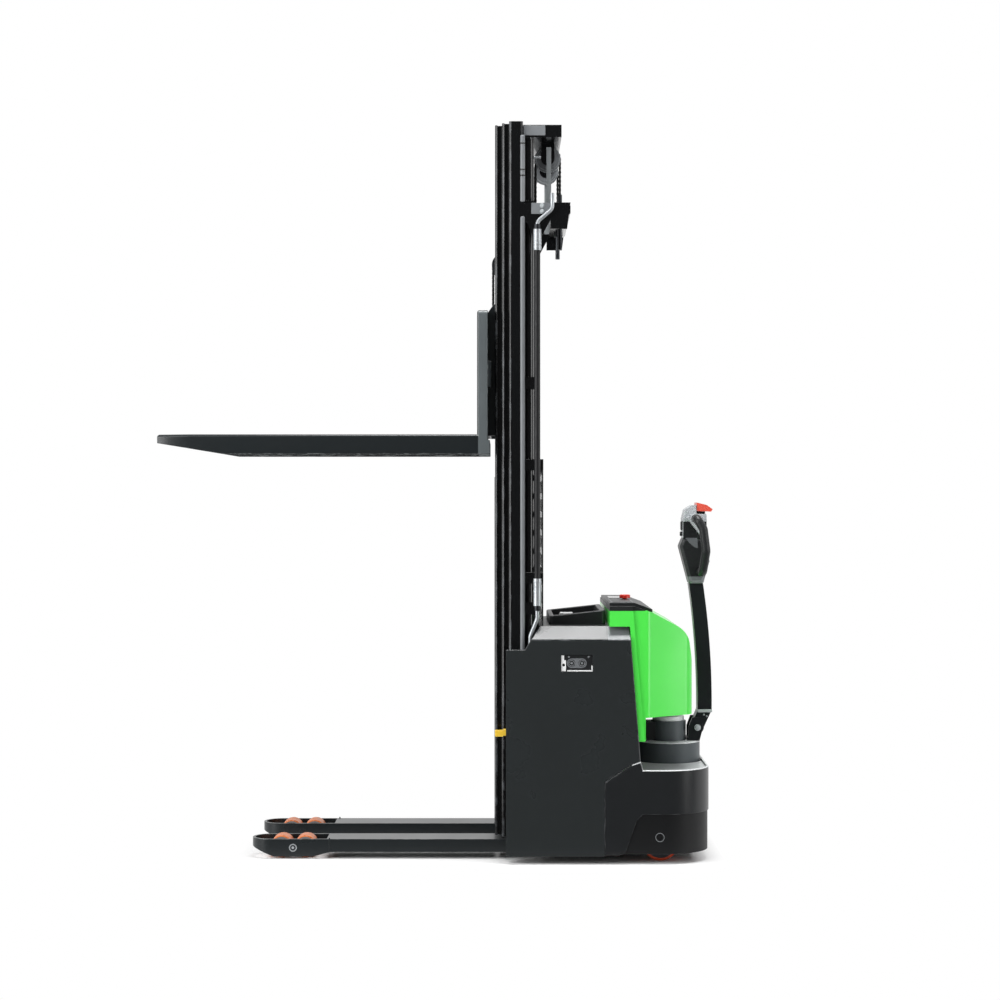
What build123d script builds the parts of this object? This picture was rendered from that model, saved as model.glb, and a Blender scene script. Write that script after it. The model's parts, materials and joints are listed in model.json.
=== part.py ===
# Electric pallet stacker with a three-stage mast, in millimetres.
# +X runs from the forks to the tiller, +Y to the right side of a driver facing the forks, +Z up.
# The origin is on the floor, at the middle of the machine's footprint box.
# The forks stand raised on the free lift, as in the picture of the machine.
from build123d import *
import math
import os

# Forks
fork_length = 1150.0
fork_heel_x = 143.0
fork_span = 570.0
fork_width = 180.0
fork_depth = 70.0
fork_plate = 8.0
fork_top_z = 1520.0
fork_tip_depth = 31.0
fork_tip_width = 92.0
fork_tip_taper = 126.0
fork_under_taper = 236.0
fork_edge_round = 10.0
shank_depth = 38.0
shank_height = 444.0
shank_round = 16.0
fork_tail = 8.0

# Support legs and their rollers
leg_width = 140.0
leg_bottom_z = 24.0
leg_top_z = 71.0
leg_wall = 6.0
nose_length = 281.0
nose_tip_x = -667.0
nose_plate = 10.0
nose_bottom_z = 8.0
nose_front_cut = 82.0
nose_rear_cut = 60.0
nose_lip_z = 40.0
roller_diameter = 80.0
roller_width = 84.0
roller_pitch = 86.0
roller_axle_diameter = 20.0
rocker_plate = 6.0
rocker_depth = 34.0
rocker_pin_diameter = 25.0

# Mast rails, nested from the outside in
mast_top_z = 2628.0
mast_outer_half_width = 345.0
rail_width = 40.0
rail_depth = 50.0
rail_flange = 9.0
rail_web = 10.0
rail_gap = 3.0
stage_offset = 25.0
outer_front_x = 257.0
outer_bottom_z = 25.0
stage_bottom_z = 85.0
pad_gap = 0.5
pad_length = 80.0
tie_plate = 18.0
tie_height = 22.0

# Main lift cylinders and crosshead
cylinder_x = 327.0
cylinder_side_inset = 45.0
cylinder_radius = 19.0
cylinder_bottom_z = 75.0
cylinder_top_drop = 64.0
gland_height = 18.0
gland_radius = 22.0
lift_rod_radius = 14.0
lift_rod_bottom_z = 200.0
running_gap = 0.1
beam_top_drop = 9.0
beam_height = 44.0
beam_side_inset = 23.0
hood_plate_rear_x = 444.0

# Chain sheaves on the crosshead and the chain anchors on the outer mast
sheave_x = 398.0
sheave_y = 160.0
sheave_drop = 55.0
sheave_flange_radius = 47.0
sheave_width = 24.0
sheave_lip = 3.0
chain_radius = 44.0
chain_width = 16.0
chain_thickness = 10.0
sheave_axle_radius = 10.0
hanger_plate = 8.0
hanger_width = 48.0
side_gap = 1.0
anchor_drop = 288.0
anchor_height = 50.0
anchor_front_x = 410.0
anchor_rear_x = 475.0
anchor_cheek = 8.0
anchor_cheek_below = 44.0
anchor_cheek_ahead = 6.0
anchor_cheek_slope = 12.0
anchor_rod_radius = 8.0
anchor_rod_below = 98.0
anchor_rod_above = 52.0
anchor_nut_radius = 14.0
anchor_nut_height = 14.0
bracket_plate = 10.0
foot_tie_top_z = 300.0
gusset_below = 100.0
anchor_plate_drop = 4.0
anchor_plate_height = 40.0
low_clamp_z = 900.0
middle_clamp_z = 1700.0
top_clamp_drop = 303.0
strap_width = 17.0
strap_thickness = 6.0
strap_top_drop = 15.0

# Free lift inside the mast
free_cylinder_x = 232.0
free_cylinder_radius = 28.0
free_cylinder_top_z = 1370.0
free_rod_radius = 18.0
free_rod_bottom_z = 900.0
free_sheave_x = 236.0
free_sheave_y = 50.0
free_sheave_rise = 159.0
free_sheave_flange_radius = 41.0
free_sheave_width = 18.0
free_chain_radius = 36.0
free_chain_width = 11.0
free_head_half_width = 38.0
free_head_half_depth = 20.0
free_head_half_height = 40.0

# Lift carriage
carriage_plate = 12.0
carriage_arm = 16.0
carriage_side_gap = 3.0
carriage_top_z = 1990.0
carriage_bottom_z = 1516.0
carriage_bar_bottom_z = 1689.0
carriage_bar_top_z = 1782.0
chain_lug_height = 30.0

# Body shells
body_side_room = 47.0
body_front_x = 246.0
body_bottom_z = 28.0
panel_top_z = 838.0
panel_shoulder_z = 792.0
panel_bevel_inset = 48.0
panel_lip = 12.0
panel_wall = 8.0
panel_bevel_shift = 3.6
panel_notch_z = 757.0
panel_notch_x = 312.0
panel_notch_run = 22.0
panel_step_x = 366.0
panel_rear_top_x = 683.0
panel_rear_low_x = 721.0
panel_rear_low_z = 363.0
panel_knee_run = 31.0
panel_knee_drop = 11.0
seam_x = 596.0
seam_z = 292.0
seam_gap = 0.6
deck_plate = 8.0
window_left_x = 440.0
window_right_x = 552.0
window_bottom_z = 680.0
window_top_z = 739.0
socket_rim = 5.0
socket_depth = 30.0
well_radius = 13.0
well_pitch = 36.4
well_depth = 21.0
tray_front_x = 401.0
tray_rear_x = 604.0
tray_half_width = 235.0
tray_front_top_z = 868.0
tray_rear_top_z = 890.0
tray_corner = 9.0
tray_rim = 18.0
tray_floor = 10.0
hood_front_x = 612.0
hood_rear_x = 911.0
hood_wall = 5.0
hood_side_gap = 4.0
hood_shoulder_x = 735.0
hood_waist_inset = 12.0
hood_waist_x = 757.0
hood_rear_half_width = 300.0
hood_corner_radius = 45.0
hood_recess_half_width = 162.0
hood_recess_depth = 32.0
hood_recess_slope = 18.0
hood_top_z = 909.0
hood_flat_length = 88.0
hood_crest_x = 766.0
hood_crest_z = 886.0
hood_brow_x = 872.0
hood_brow_z = 828.0
hood_knee_x = 898.0
hood_knee_z = 797.0
hood_brow_radius = 80.0
hood_step = 8.0
hood_step_top_x = 694.0
hood_step_low_x = 737.0
hood_bend_z = 712.0
hood_low_z = 522.0
hood_low_rise = 7.0
hood_leg_bottom_z = 432.0
hood_leg_rear_x = 740.0
hood_lap = 30.0
hood_lap_top_z = 780.0
dash_plate = 11.0
dash_margin = 2.0
dash_half_width = 335.0
dash_floor = 1.0
stop_x = 682.0
stop_y = -80.0
stop_stem_radius = 9.0
stop_head_radius = 20.0
stop_head_height = 13.0
stop_lift = 6.0
stop_travel = 6.0
skirt_rear_x = 975.0
skirt_top_z = 322.0
skirt_bottom_z = 36.0
skirt_wall = 8.0
skirt_lip_run = 8.0
skirt_rim = 10.0
skirt_corner_radius = 170.0
skirt_plate_gap = 1.0
arch_recess = 4.0
arch_front_x = 665.0
arch_top_z = 176.0
arch_slope = 42.0
arch_corner = 21.0
access_hole_radius = 14.0
access_hole_x = 789.0
access_hole_z = 95.0

# Chassis plates
frame_plate = 12.0
cross_beam_depth = 50.0
cross_beam_top_z = 75.0
sill_top_z = 110.0
post_width = 42.0
bulkhead_x = 640.0
drive_plate_bottom_z = 294.0
drive_plate_top_z = 310.0
slew_hole_radius = 95.0

# Steering and drive
steer_x = 847.0
swivel_gap = 0.3
collar_radius = 116.0
collar_wall = 8.0
collar_top_z = 400.0
collar_chamfer = 4.0
collar_gap = 1.5
slew_flange_radius = 110.0
motor_radius = 65.0
motor_top_z = 472.0
brake_radius = 58.0
brake_height = 16.0
gearbox_radius = 88.0
gearbox_bottom_z = 238.0
drive_wheel_diameter = 230.0
drive_wheel_width = 75.0
drive_axle_radius = 20.0
drive_cheek = 22.0
drive_cheek_depth = 90.0
wheel_side_gap = 3.0
wheel_edge_round = 10.0

# Castors
caster_wheel_diameter = 130.0
caster_wheel_width = 48.0
caster_wheel_x = 797.0
caster_trail = 22.0
caster_inset = 107.0
caster_axle_radius = 8.0
caster_cheek = 6.0
caster_cheek_half = 16.0
caster_plate_bottom_z = 148.0
caster_plate_top_z = 166.0
caster_plate_radius = 42.0
caster_stem_radius = 12.0
caster_stem_length = 34.0
caster_mount_half = 40.0

# Tiller arm and its bracket
tiller_pivot_x = 951.0
tiller_pivot_z = 449.0
pivot_pin_radius = 10.0
pivot_pin_end = 6.0
cheek_inner = 38.0
cheek_plate = 10.0
cheek_front_x = 918.0
cheek_rear_x = 972.0
cheek_top_z = 486.0
cheek_front_lean = 14.0
cheek_rear_lean = 8.0
foot_plate = 12.0
foot_front_gap = 2.0
foot_rear_inset = 4.0
knuckle_radius = 25.0
knuckle_gap = 0.5
arm_half_width = 35.0
arm_depth = 52.0
arm_wall = 5.0
arm_bottom_z = 512.0
arm_top_z = 978.0
arm_bottom_x = 979.0
arm_top_x = 947.0
arm_bow = 9.0

# Tiller head and its controls
head_half_width = 56.0
head_shell_top_z = 1146.0
head_front_x = 885.0
head_chin_z = 1115.0
head_neck_x = 905.0
head_neck_z = 1040.0
head_rear_x = 996.0
head_swell_z = 1060.0
head_chamfer = 7.0
console_top_z = 1266.0
console_front_x = 898.0
console_rear_x = 984.0
console_brow_drop = 16.0
console_brow_run = 8.0
console_face_drop = 50.0
console_crown_run = 16.0
console_step_gap = 2.0
grip_radius = 16.0
grip_x = 940.0
grip_z = 1217.0
grip_inner_y = 104.0
grip_outer_y = 160.0
loop_root_x = 962.0
loop_root_z = 1022.0
loop_root_y = 140.0
loop_side_y = 168.0
loop_rear_x = 972.0
loop_rear_z = 1100.0
loop_top_z = 1180.0
loop_bends = (25.0, 25.0, 25.0, 20.0)
throttle_hub_radius = 18.0
throttle_shaft_radius = 8.0
throttle_gap = 0.5
paddle_thickness = 11.0
paddle_up = 22.0
paddle_down = 62.0
paddle_turn = 52.0
belly_half_width = 50.0
belly_front_x = 948.0
belly_rear_x = 1007.0
belly_seat_z = 1234.0
belly_gap = 11.0
belly_height = 31.0
belly_nose_height = 22.0
belly_nose_run = 22.0
belly_lip = 6.0
belly_droop = 3.0
belly_stem_radius = 7.0
belly_stem_depth = 30.0
belly_bore_depth = 46.0
rocker_switch_z = 1190.0
rocker_switch_half_width = 20.0
rocker_switch_half_height = 15.0
rocker_switch_proud = 5.0
rocker_switch_inset = 8.0
rocker_switch_room = 3.0
rocker_pocket_depth = 12.0
rocker_pivot_radius = 2.5
rocker_pivot_end = 4.0
horn_radius = 8.0
horn_z = 1160.0
horn_proud = 8.0
horn_length = 18.0
horn_bore_depth = 18.0
horn_gap = 0.3

# Inner equipment
battery_front_x = 405.0
battery_rear_x = 620.0
battery_side_gap = 12.0
battery_bottom_z = 430.0
battery_height = 320.0
pump_x = 513.0
pump_radius = 60.0
pump_length = 210.0
tank_depth = 120.0
tank_width = 280.0
tank_height = 319.0
valve_width = 40.0
valve_depth = 60.0
valve_height = 180.0
controller_half_width = 110.0
controller_depth = 48.0
controller_bottom_z = 560.0
controller_height = 180.0

# Hose and its pipes on the left of the mast
hose_radius = 10.5
hose_x = 357.0
hose_side_gap = 15.0
hose_bottom_z = 1007.0
hose_top_below = 121.0
fitting_radius = 14.0
fitting_length = 96.0
top_fitting_length = 74.0
pipe_radius = 7.0
pipe_low_x = 332.0
pipe_low_straight = 46.0
pipe_low_slope = 62.0
pipe_low_bend = 40.0
pipe_high_x = 410.0
pipe_high_straight = 27.0
pipe_high_slope = 45.0
pipe_high_end = 56.0
pipe_high_bend = 28.0
clip_offset = 50.0
clip_height = 18.0

# Rear guard and height sensor
guard_x = 374.0
guard_plate = 5.0
guard_side_gap = 13.0
guard_bottom_z = 838.0
guard_top_z = 1430.0
guard_slot_rows = 9
guard_slot_columns = 5
guard_bar_width = 24.0
guard_bar_height = 22.0
guard_tab_height = 40.0
guard_tab_rise = 150.0
sensor_z = 457.0
sensor_front_x = 207.0
sensor_length = 29.0
sensor_width = 30.0
sensor_height = 22.0
sensor_bracket_width = 10.0
sensor_bracket_bottom = 8.0
sensor_bracket_top = 16.0

# Places that follow from the sizes above
fork_tip_x = fork_heel_x - fork_length
shank_rear_x = fork_heel_x + shank_depth
fork_y = (fork_span - fork_width) / 2
fork_bottom_z = fork_top_z - fork_depth
nose_rear_x = nose_tip_x + nose_length
leg_rear_x = guard_x
cross_beam_front_x = guard_x + frame_plate
rocker_x = (nose_tip_x + nose_rear_x) / 2 + roller_axle_diameter / 2
roller_radius = roller_diameter / 2
outer_rear_x = outer_front_x + rail_depth
middle_front_x = outer_front_x - stage_offset
middle_rear_x = middle_front_x + rail_depth
inner_front_x = middle_front_x - stage_offset
inner_rear_x = inner_front_x + rail_depth
outer_inner_y = mast_outer_half_width - rail_width
middle_outer_y = outer_inner_y - rail_gap
middle_inner_y = middle_outer_y - rail_width
inner_outer_y = middle_inner_y - rail_gap
inner_inner_y = inner_outer_y - rail_width
caster_swivel_x = caster_wheel_x - caster_trail
body_half_width = mast_outer_half_width + body_side_room
deck_half_width = body_half_width - panel_bevel_inset - panel_lip
battery_half_width = deck_half_width - battery_side_gap
caster_y = body_half_width - caster_inset
hood_shoulder_half_width = body_half_width - panel_wall - hood_side_gap
hood_waist_half_width = hood_shoulder_half_width - hood_waist_inset
bracket_inner_y = mast_outer_half_width - bracket_plate
guard_half_width = bracket_inner_y - guard_side_gap
cylinder_y = mast_outer_half_width - cylinder_side_inset
cylinder_top_z = mast_top_z - cylinder_top_drop
beam_half_width = mast_outer_half_width - beam_side_inset
beam_top_z = mast_top_z - beam_top_drop
beam_bottom_z = beam_top_z - beam_height
sheave_z = beam_bottom_z - sheave_drop
strap_top_z = beam_bottom_z - strap_top_drop
anchor_top_z = mast_top_z - anchor_drop
anchor_bottom_z = anchor_top_z - anchor_height
anchor_rod_bottom_z = anchor_bottom_z - anchor_rod_below
anchor_rod_top_z = anchor_top_z + anchor_rod_above
anchor_gusset_z = anchor_bottom_z - gusset_below
anchor_plate_top_z = anchor_top_z - anchor_plate_drop
anchor_plate_bottom_z = anchor_plate_top_z - anchor_plate_height
clamp_heights = (low_clamp_z, middle_clamp_z, mast_top_z - top_clamp_drop)
free_sheave_z = carriage_top_z + free_sheave_rise
hose_y = -mast_outer_half_width - hose_side_gap
hose_top_z = anchor_bottom_z - hose_top_below
sides = ((-1, "left"), (1, "right"))
bodies = {}


def block(x0, x1, y0, y1, z0, z1):
    size = Box(abs(x1 - x0), abs(y1 - y0), abs(z1 - z0))
    return Pos((x0 + x1) / 2, (y0 + y1) / 2, (z0 + z1) / 2) * size


def rod_z(x, y, z0, z1, radius):
    return Pos(x, y, (z0 + z1) / 2) * Cylinder(radius, abs(z1 - z0))


def rod_y(x, z, y0, y1, radius):
    return Pos(x, (y0 + y1) / 2, z) * Rot(90, 0, 0) * Cylinder(radius, abs(y1 - y0))


def rod_x(y, z, x0, x1, radius):
    return Pos((x0 + x1) / 2, y, z) * Rot(0, 90, 0) * Cylinder(radius, abs(x1 - x0))


# A plate whose outline lies in the side view, points given as (x, z)
def side_plate(points, y0, y1):
    outline = make_face(Polyline(*[(x, y1, z) for x, z in points], close=True))
    return extrude(outline, amount=y1 - y0, dir=(0, -1, 0))


# A plate whose outline lies in the plan view, points given as (x, y)
def plan_plate(points, z0, z1):
    outline = make_face(Polyline(*[(x, y, z0) for x, y in points], close=True))
    return extrude(outline, amount=z1 - z0, dir=(0, 0, 1))


def tube_along(points, radii, radius):
    path = FilletPolyline(*points, radius=radii)
    return sweep(Plane(path @ 0, z_dir=path % 0) * Circle(radius), path=path)


def save(name, *pieces):
    solids = [solid for piece in pieces for solid in piece.solids()]
    bodies[name] = Compound(children=solids) if len(solids) > 1 else solids[0]


# Support legs: box tubes with an open, nosed end that holds the tandem rollers
def support_leg(side):
    y0 = side * fork_y - leg_width / 2
    y1 = y0 + leg_width
    outer = block(nose_rear_x, leg_rear_x, y0, y1, leg_bottom_z, leg_top_z)
    inner = block(
        nose_rear_x + leg_wall, leg_rear_x + leg_wall, y0 + leg_wall, y1 - leg_wall,
        leg_bottom_z + leg_wall, leg_top_z - leg_wall,
    )
    return outer - inner


def leg_nose(side):
    half = leg_width / 2
    profile = [
        (nose_tip_x, nose_lip_z), (nose_tip_x + nose_front_cut, nose_bottom_z),
        (nose_rear_x - nose_rear_cut, nose_bottom_z), (nose_rear_x, leg_bottom_z),
        (nose_rear_x, leg_top_z), (nose_tip_x, leg_top_z),
    ]
    y0 = side * fork_y

    def stadium(inset):
        radius = half - inset
        centre_x = nose_tip_x + half
        straight = block(centre_x, nose_rear_x - inset, y0 - radius, y0 + radius, 0, leg_top_z + inset)
        return straight + rod_z(centre_x, y0, 0, leg_top_z + inset, radius)

    shell = side_plate(profile, y0 - half, y0 + half) & stadium(0)
    pin_hole = rod_y(rocker_x, roller_radius, y0 - half, y0 + half, rocker_pin_diameter / 2)
    return shell - stadium(nose_plate) - pin_hole


def rocker(side):
    y0 = side * fork_y
    inner = roller_width / 2 + wheel_side_gap / 2
    plates = []
    for flank in (-1, 1):
        ya, yb = sorted((y0 + flank * inner, y0 + flank * (inner + rocker_plate)))
        bar = block(
            rocker_x - roller_pitch / 2, rocker_x + roller_pitch / 2, ya, yb,
            roller_radius - rocker_depth / 2, roller_radius + rocker_depth / 2,
        )
        for end in (-1, 1):
            x = rocker_x + end * roller_pitch / 2
            bar += rod_y(x, roller_radius, ya, yb, rocker_depth / 2)
        plates.append(bar)
    core = plates[0] + plates[1]
    for end in (-1, 1):
        x = rocker_x + end * roller_pitch / 2
        core += rod_y(x, roller_radius, y0 - inner, y0 + inner, roller_axle_diameter / 2)
    for flank in (-1, 1):
        reach = flank * leg_width / 2
        pin = rod_y(
            rocker_x, roller_radius, y0 + flank * inner, y0 + reach,
            rocker_pin_diameter / 2 - running_gap / 2,
        )
        core += pin
    return core


def load_roller(side, end):
    x = rocker_x + end * roller_pitch / 2
    y0 = side * fork_y
    half = roller_width / 2
    bore = rod_y(x, roller_radius, y0 - half, y0 + half, roller_axle_diameter / 2 + running_gap / 2)
    tread = rod_y(x, roller_radius, y0 - half, y0 + half, roller_radius)
    rim = [edge for edge in tread.edges() if edge.geom_type == GeomType.CIRCLE]
    return fillet(rim, fork_edge_round / 2) - bore


for side, word in sides:
    save(f"support_leg_{word}", support_leg(side) + leg_nose(side))
    save(f"roller_rocker_{word}", rocker(side))
    save(f"front_roller_{word}", load_roller(side, -1))
    save(f"rear_roller_{word}", load_roller(side, 1))


# Mast rails: the outer stage is a channel, the other two are I-sections
def channel_rail(side):
    y_out = side * mast_outer_half_width
    y_in = side * outer_inner_y
    y_web = side * (mast_outer_half_width - rail_web)
    web = block(outer_front_x, outer_rear_x, y_web, y_out, outer_bottom_z, mast_top_z)
    front = block(outer_front_x, outer_front_x + rail_flange, y_in, y_web, outer_bottom_z, mast_top_z)
    rear = block(outer_rear_x - rail_flange, outer_rear_x, y_in, y_web, outer_bottom_z, mast_top_z)
    return web + front + rear


def beam_rail(side, front_x, y_outer):
    y_mid = side * (y_outer - rail_width / 2)
    y_out = side * y_outer
    y_in = side * (y_outer - rail_width)
    rear_x = front_x + rail_depth
    web = block(
        front_x + rail_flange, rear_x - rail_flange, y_mid - rail_web / 2, y_mid + rail_web / 2,
        stage_bottom_z, mast_top_z,
    )
    front = block(front_x, front_x + rail_flange, y_in, y_out, stage_bottom_z, mast_top_z)
    rear = block(rear_x - rail_flange, rear_x, y_in, y_out, stage_bottom_z, mast_top_z)
    return web + front + rear


# Outer mast with its cylinder seats, foot tie and the raised side brackets of the chain anchors


def outer_mast():
    mast = None
    for side in (-1, 1):
        y_out = side * mast_outer_half_width
        y_in = side * bracket_inner_y
        low, high = sorted((y_in, y_out))
        rail = channel_rail(side)
        foot = block(outer_rear_x, guard_x, y_in, y_out, outer_bottom_z, foot_tie_top_z)
        seat = block(
            outer_rear_x, cylinder_x + cylinder_radius, side * (cylinder_y - cylinder_radius), y_in,
            outer_bottom_z, cylinder_bottom_z,
        )
        bracket = side_plate(
            [
                (outer_rear_x, anchor_plate_bottom_z), (hose_x, anchor_gusset_z),
                (anchor_front_x, anchor_bottom_z), (anchor_front_x, anchor_top_z),
                (outer_rear_x, anchor_plate_top_z),
            ],
            low, high,
        )
        rail = rail + foot + seat + bracket
        mast = rail if mast is None else mast + rail
    foot_tie = block(
        guard_x, guard_x + frame_plate, -mast_outer_half_width, mast_outer_half_width,
        outer_bottom_z, foot_tie_top_z,
    )
    return mast + foot_tie


# The beam that carries the two chain anchors, with a bore for each threaded rod
rod_x_place = sheave_x + chain_radius


def anchor_beam():
    beam = block(
        anchor_front_x, anchor_rear_x, -mast_outer_half_width,
        mast_outer_half_width, anchor_bottom_z, anchor_top_z,
    )
    beam = chamfer(beam.edges().filter_by(Axis.Y).sort_by(Axis.X)[-2:], frame_plate)
    cheek_bottom_z = anchor_bottom_z - anchor_cheek_below
    for side in (-1, 1):
        low, high = sorted((side * mast_outer_half_width, side * (mast_outer_half_width - anchor_cheek)))
        beam += side_plate(
            [
                (anchor_front_x - anchor_cheek_ahead, anchor_top_z), (anchor_rear_x, anchor_top_z),
                (anchor_rear_x - anchor_cheek_slope, cheek_bottom_z),
                (anchor_front_x - anchor_cheek_ahead, cheek_bottom_z),
            ],
            low, high,
        )
        beam -= rod_z(
            rod_x_place, side * sheave_y, anchor_bottom_z, anchor_top_z, anchor_rod_radius + running_gap,
        )
        y = side * (sheave_y + sheave_width / 2 + hanger_plate + side_gap * 4)
        beam += block(
            anchor_front_x - strap_width, anchor_front_x, y, y + side * strap_thickness,
            anchor_bottom_z, strap_top_z,
        )
    return beam


# Clamps that hold a cylinder to its rail
def cylinder_clamp(side, z):
    clamp = block(
        outer_rear_x, cylinder_x + cylinder_radius + rail_gap,
        side * (cylinder_y - cylinder_radius - rail_gap),
        side * bracket_inner_y, z - tie_height, z + tie_height,
    )
    return clamp - rod_z(cylinder_x, side * cylinder_y, z - tie_height, z + tie_height, cylinder_radius)


mast_frame = outer_mast() + anchor_beam()
for side in (-1, 1):
    for z in clamp_heights:
        mast_frame += cylinder_clamp(side, z)
save("outer_mast", mast_frame)

anchor_rods = []
for side in (-1, 1):
    rod = rod_z(rod_x_place, side * sheave_y, anchor_rod_bottom_z, anchor_rod_top_z, anchor_rod_radius)
    for z in (anchor_top_z, anchor_bottom_z - anchor_nut_height):
        rod += Pos(rod_x_place, side * sheave_y, z) * extrude(
            RegularPolygon(anchor_nut_radius, 6), amount=anchor_nut_height,
        )
    anchor_rods.append(rod)
save("chain_anchor_rods", *anchor_rods)

# Middle mast: two I-section rails, a foot tie and the crosshead that the cylinders push
def middle_mast():
    mast = None
    for side in (-1, 1):
        rail = beam_rail(side, middle_front_x, middle_outer_y)
        neck = block(
            middle_rear_x, outer_rear_x + side_gap, side * middle_inner_y, side * middle_outer_y,
            beam_bottom_z, beam_top_z,
        )
        rail += neck
        for flank in (-1, 1):
            y = side * sheave_y + flank * (sheave_width / 2 + side_gap)
            plate = side_plate(
                [
                    (sheave_x - hanger_width / 2, sheave_z), (sheave_x + hanger_width / 2, sheave_z),
                    (sheave_x + hanger_width / 2, beam_bottom_z),
                    (sheave_x - hanger_width / 2, beam_bottom_z),
                ],
                min(y, y + flank * hanger_plate), max(y, y + flank * hanger_plate),
            )
            plate += rod_y(sheave_x, sheave_z, y, y + flank * hanger_plate, hanger_width / 2)
            rail += plate
        reach = sheave_width / 2 + side_gap + hanger_plate
        axle = rod_y(
            sheave_x, sheave_z, side * sheave_y - reach, side * sheave_y + reach, sheave_axle_radius,
        )
        rail += axle
        mast = rail if mast is None else mast + rail
    beam = block(
        outer_rear_x + side_gap, hood_plate_rear_x, -beam_half_width,
        beam_half_width, beam_bottom_z, beam_top_z,
    )
    foot = block(
        middle_rear_x, middle_rear_x + frame_plate, -middle_outer_y, middle_outer_y,
        stage_bottom_z, stage_bottom_z + tie_height,
    )
    return mast + beam + foot


save("middle_mast", middle_mast())


def pads(y_face, y_reach, front_x, z0):
    found = []
    for side in (-1, 1):
        pad = block(
            front_x + rail_flange + pad_gap, front_x + rail_depth - rail_flange - pad_gap,
            side * y_face, side * y_reach, z0, z0 + pad_length,
        )
        found.append(pad)
    return found


save(
    "middle_slide_pads",
    *pads(middle_outer_y, mast_outer_half_width - rail_web - pad_gap, outer_front_x, stage_bottom_z),
)


# Sheave: grooved wheel on a bore, turning on the hanger's axle
def sheave(x, y, z, flange_radius, groove_radius, width, axle_radius):
    wheel = rod_y(x, z, y - width / 2, y + width / 2, flange_radius)
    low = y - width / 2 + sheave_lip
    high = y + width / 2 - sheave_lip
    groove = rod_y(x, z, low, high, flange_radius + side_gap) - rod_y(x, z, low, high, groove_radius)
    bore = rod_y(x, z, y - width / 2, y + width / 2, axle_radius + running_gap / 2)
    return wheel - groove - bore


save("chain_sheaves", *[
    sheave(
        sheave_x, side * sheave_y, sheave_z, sheave_flange_radius,
        chain_radius - chain_thickness / 2 - side_gap / 2,
        sheave_width, sheave_axle_radius,
    )
    for side in (-1, 1)
])

lift_rods = []
lift_tubes = []
for side in (-1, 1):
    lift_rods.append(
        rod_z(cylinder_x, side * cylinder_y, lift_rod_bottom_z, beam_bottom_z, lift_rod_radius),
    )
    tube = rod_z(cylinder_x, side * cylinder_y, cylinder_bottom_z, cylinder_top_z, cylinder_radius)
    tube += rod_z(
        cylinder_x, side * cylinder_y, cylinder_top_z - gland_height, cylinder_top_z + gland_height / 2,
        gland_radius - rail_gap,
    )
    tube -= rod_z(
        cylinder_x, side * cylinder_y, cylinder_bottom_z + frame_plate, cylinder_top_z + gland_height,
        lift_rod_radius + running_gap,
    )
    lift_tubes.append(tube)
save("lift_rods", *lift_rods)
save("lift_cylinders", *lift_tubes)


# Inner mast: rails, foot tie with the chain lugs, middle tie, top tie and the free-lift cylinder's seat
lug_bottom_z = stage_bottom_z + tie_height + rail_gap + side_gap
chain_front_x = sheave_x - chain_radius
free_seat_top_z = stage_bottom_z + frame_plate
inner_tie_rear_x = inner_rear_x + tie_plate


def inner_mast():
    mast = None
    for side in (-1, 1):
        rail = beam_rail(side, inner_front_x, inner_outer_y)
        lug = block(
            inner_tie_rear_x, chain_front_x + chain_thickness, side * sheave_y - chain_width,
            side * sheave_y + chain_width, lug_bottom_z, lug_bottom_z + tie_height,
        )
        mast = rail + lug if mast is None else mast + rail + lug
    for z0, z1 in (
        (stage_bottom_z, lug_bottom_z + tie_height),
        (free_cylinder_top_z - tie_height * 2, free_cylinder_top_z),
        (beam_bottom_z, beam_top_z),
    ):
        mast += block(inner_rear_x, inner_tie_rear_x, -inner_outer_y, inner_outer_y, z0, z1)
    seat = block(
        free_cylinder_x - free_cylinder_radius, inner_rear_x, -free_cylinder_radius, free_cylinder_radius,
        stage_bottom_z, free_seat_top_z,
    )
    return mast + seat


free_tube = rod_z(free_cylinder_x, 0, free_seat_top_z, free_cylinder_top_z, free_cylinder_radius)
inner_frame = inner_mast() - rod_z(
    free_cylinder_x, 0, free_seat_top_z, free_cylinder_top_z, free_cylinder_radius + running_gap,
)
free_tube -= rod_z(
    free_cylinder_x, 0, free_seat_top_z + frame_plate, free_cylinder_top_z, free_rod_radius + running_gap,
)
save("inner_mast", inner_frame)
save("free_lift_cylinder", free_tube)
save(
    "inner_slide_pads",
    *pads(
        inner_outer_y, middle_outer_y - rail_width / 2 - rail_web / 2 - pad_gap,
        middle_front_x, stage_bottom_z,
    ),
)

# Free-lift head: rod, crosshead block with its sheave axle, and two sheaves
free_head_bottom_z = free_sheave_z - free_head_half_height
free_head = block(
    free_sheave_x - free_head_half_depth, free_sheave_x + free_head_half_depth,
    -free_head_half_width, free_head_half_width, free_head_bottom_z, free_sheave_z + free_head_half_height,
)
free_axle_end = free_sheave_y + free_sheave_width / 2 + side_gap + rail_gap
free_head += rod_y(free_sheave_x, free_sheave_z, -free_axle_end, free_axle_end, sheave_axle_radius)
free_ram = rod_z(free_cylinder_x, 0, free_rod_bottom_z, free_head_bottom_z, free_rod_radius)
save("free_lift_ram", free_head + free_ram)
save("free_lift_sheaves", *[
    sheave(
        free_sheave_x, side * free_sheave_y, free_sheave_z, free_sheave_flange_radius,
        free_chain_radius - chain_thickness / 2 - side_gap / 2, free_sheave_width, sheave_axle_radius,
    )
    for side in (-1, 1)
])


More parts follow.
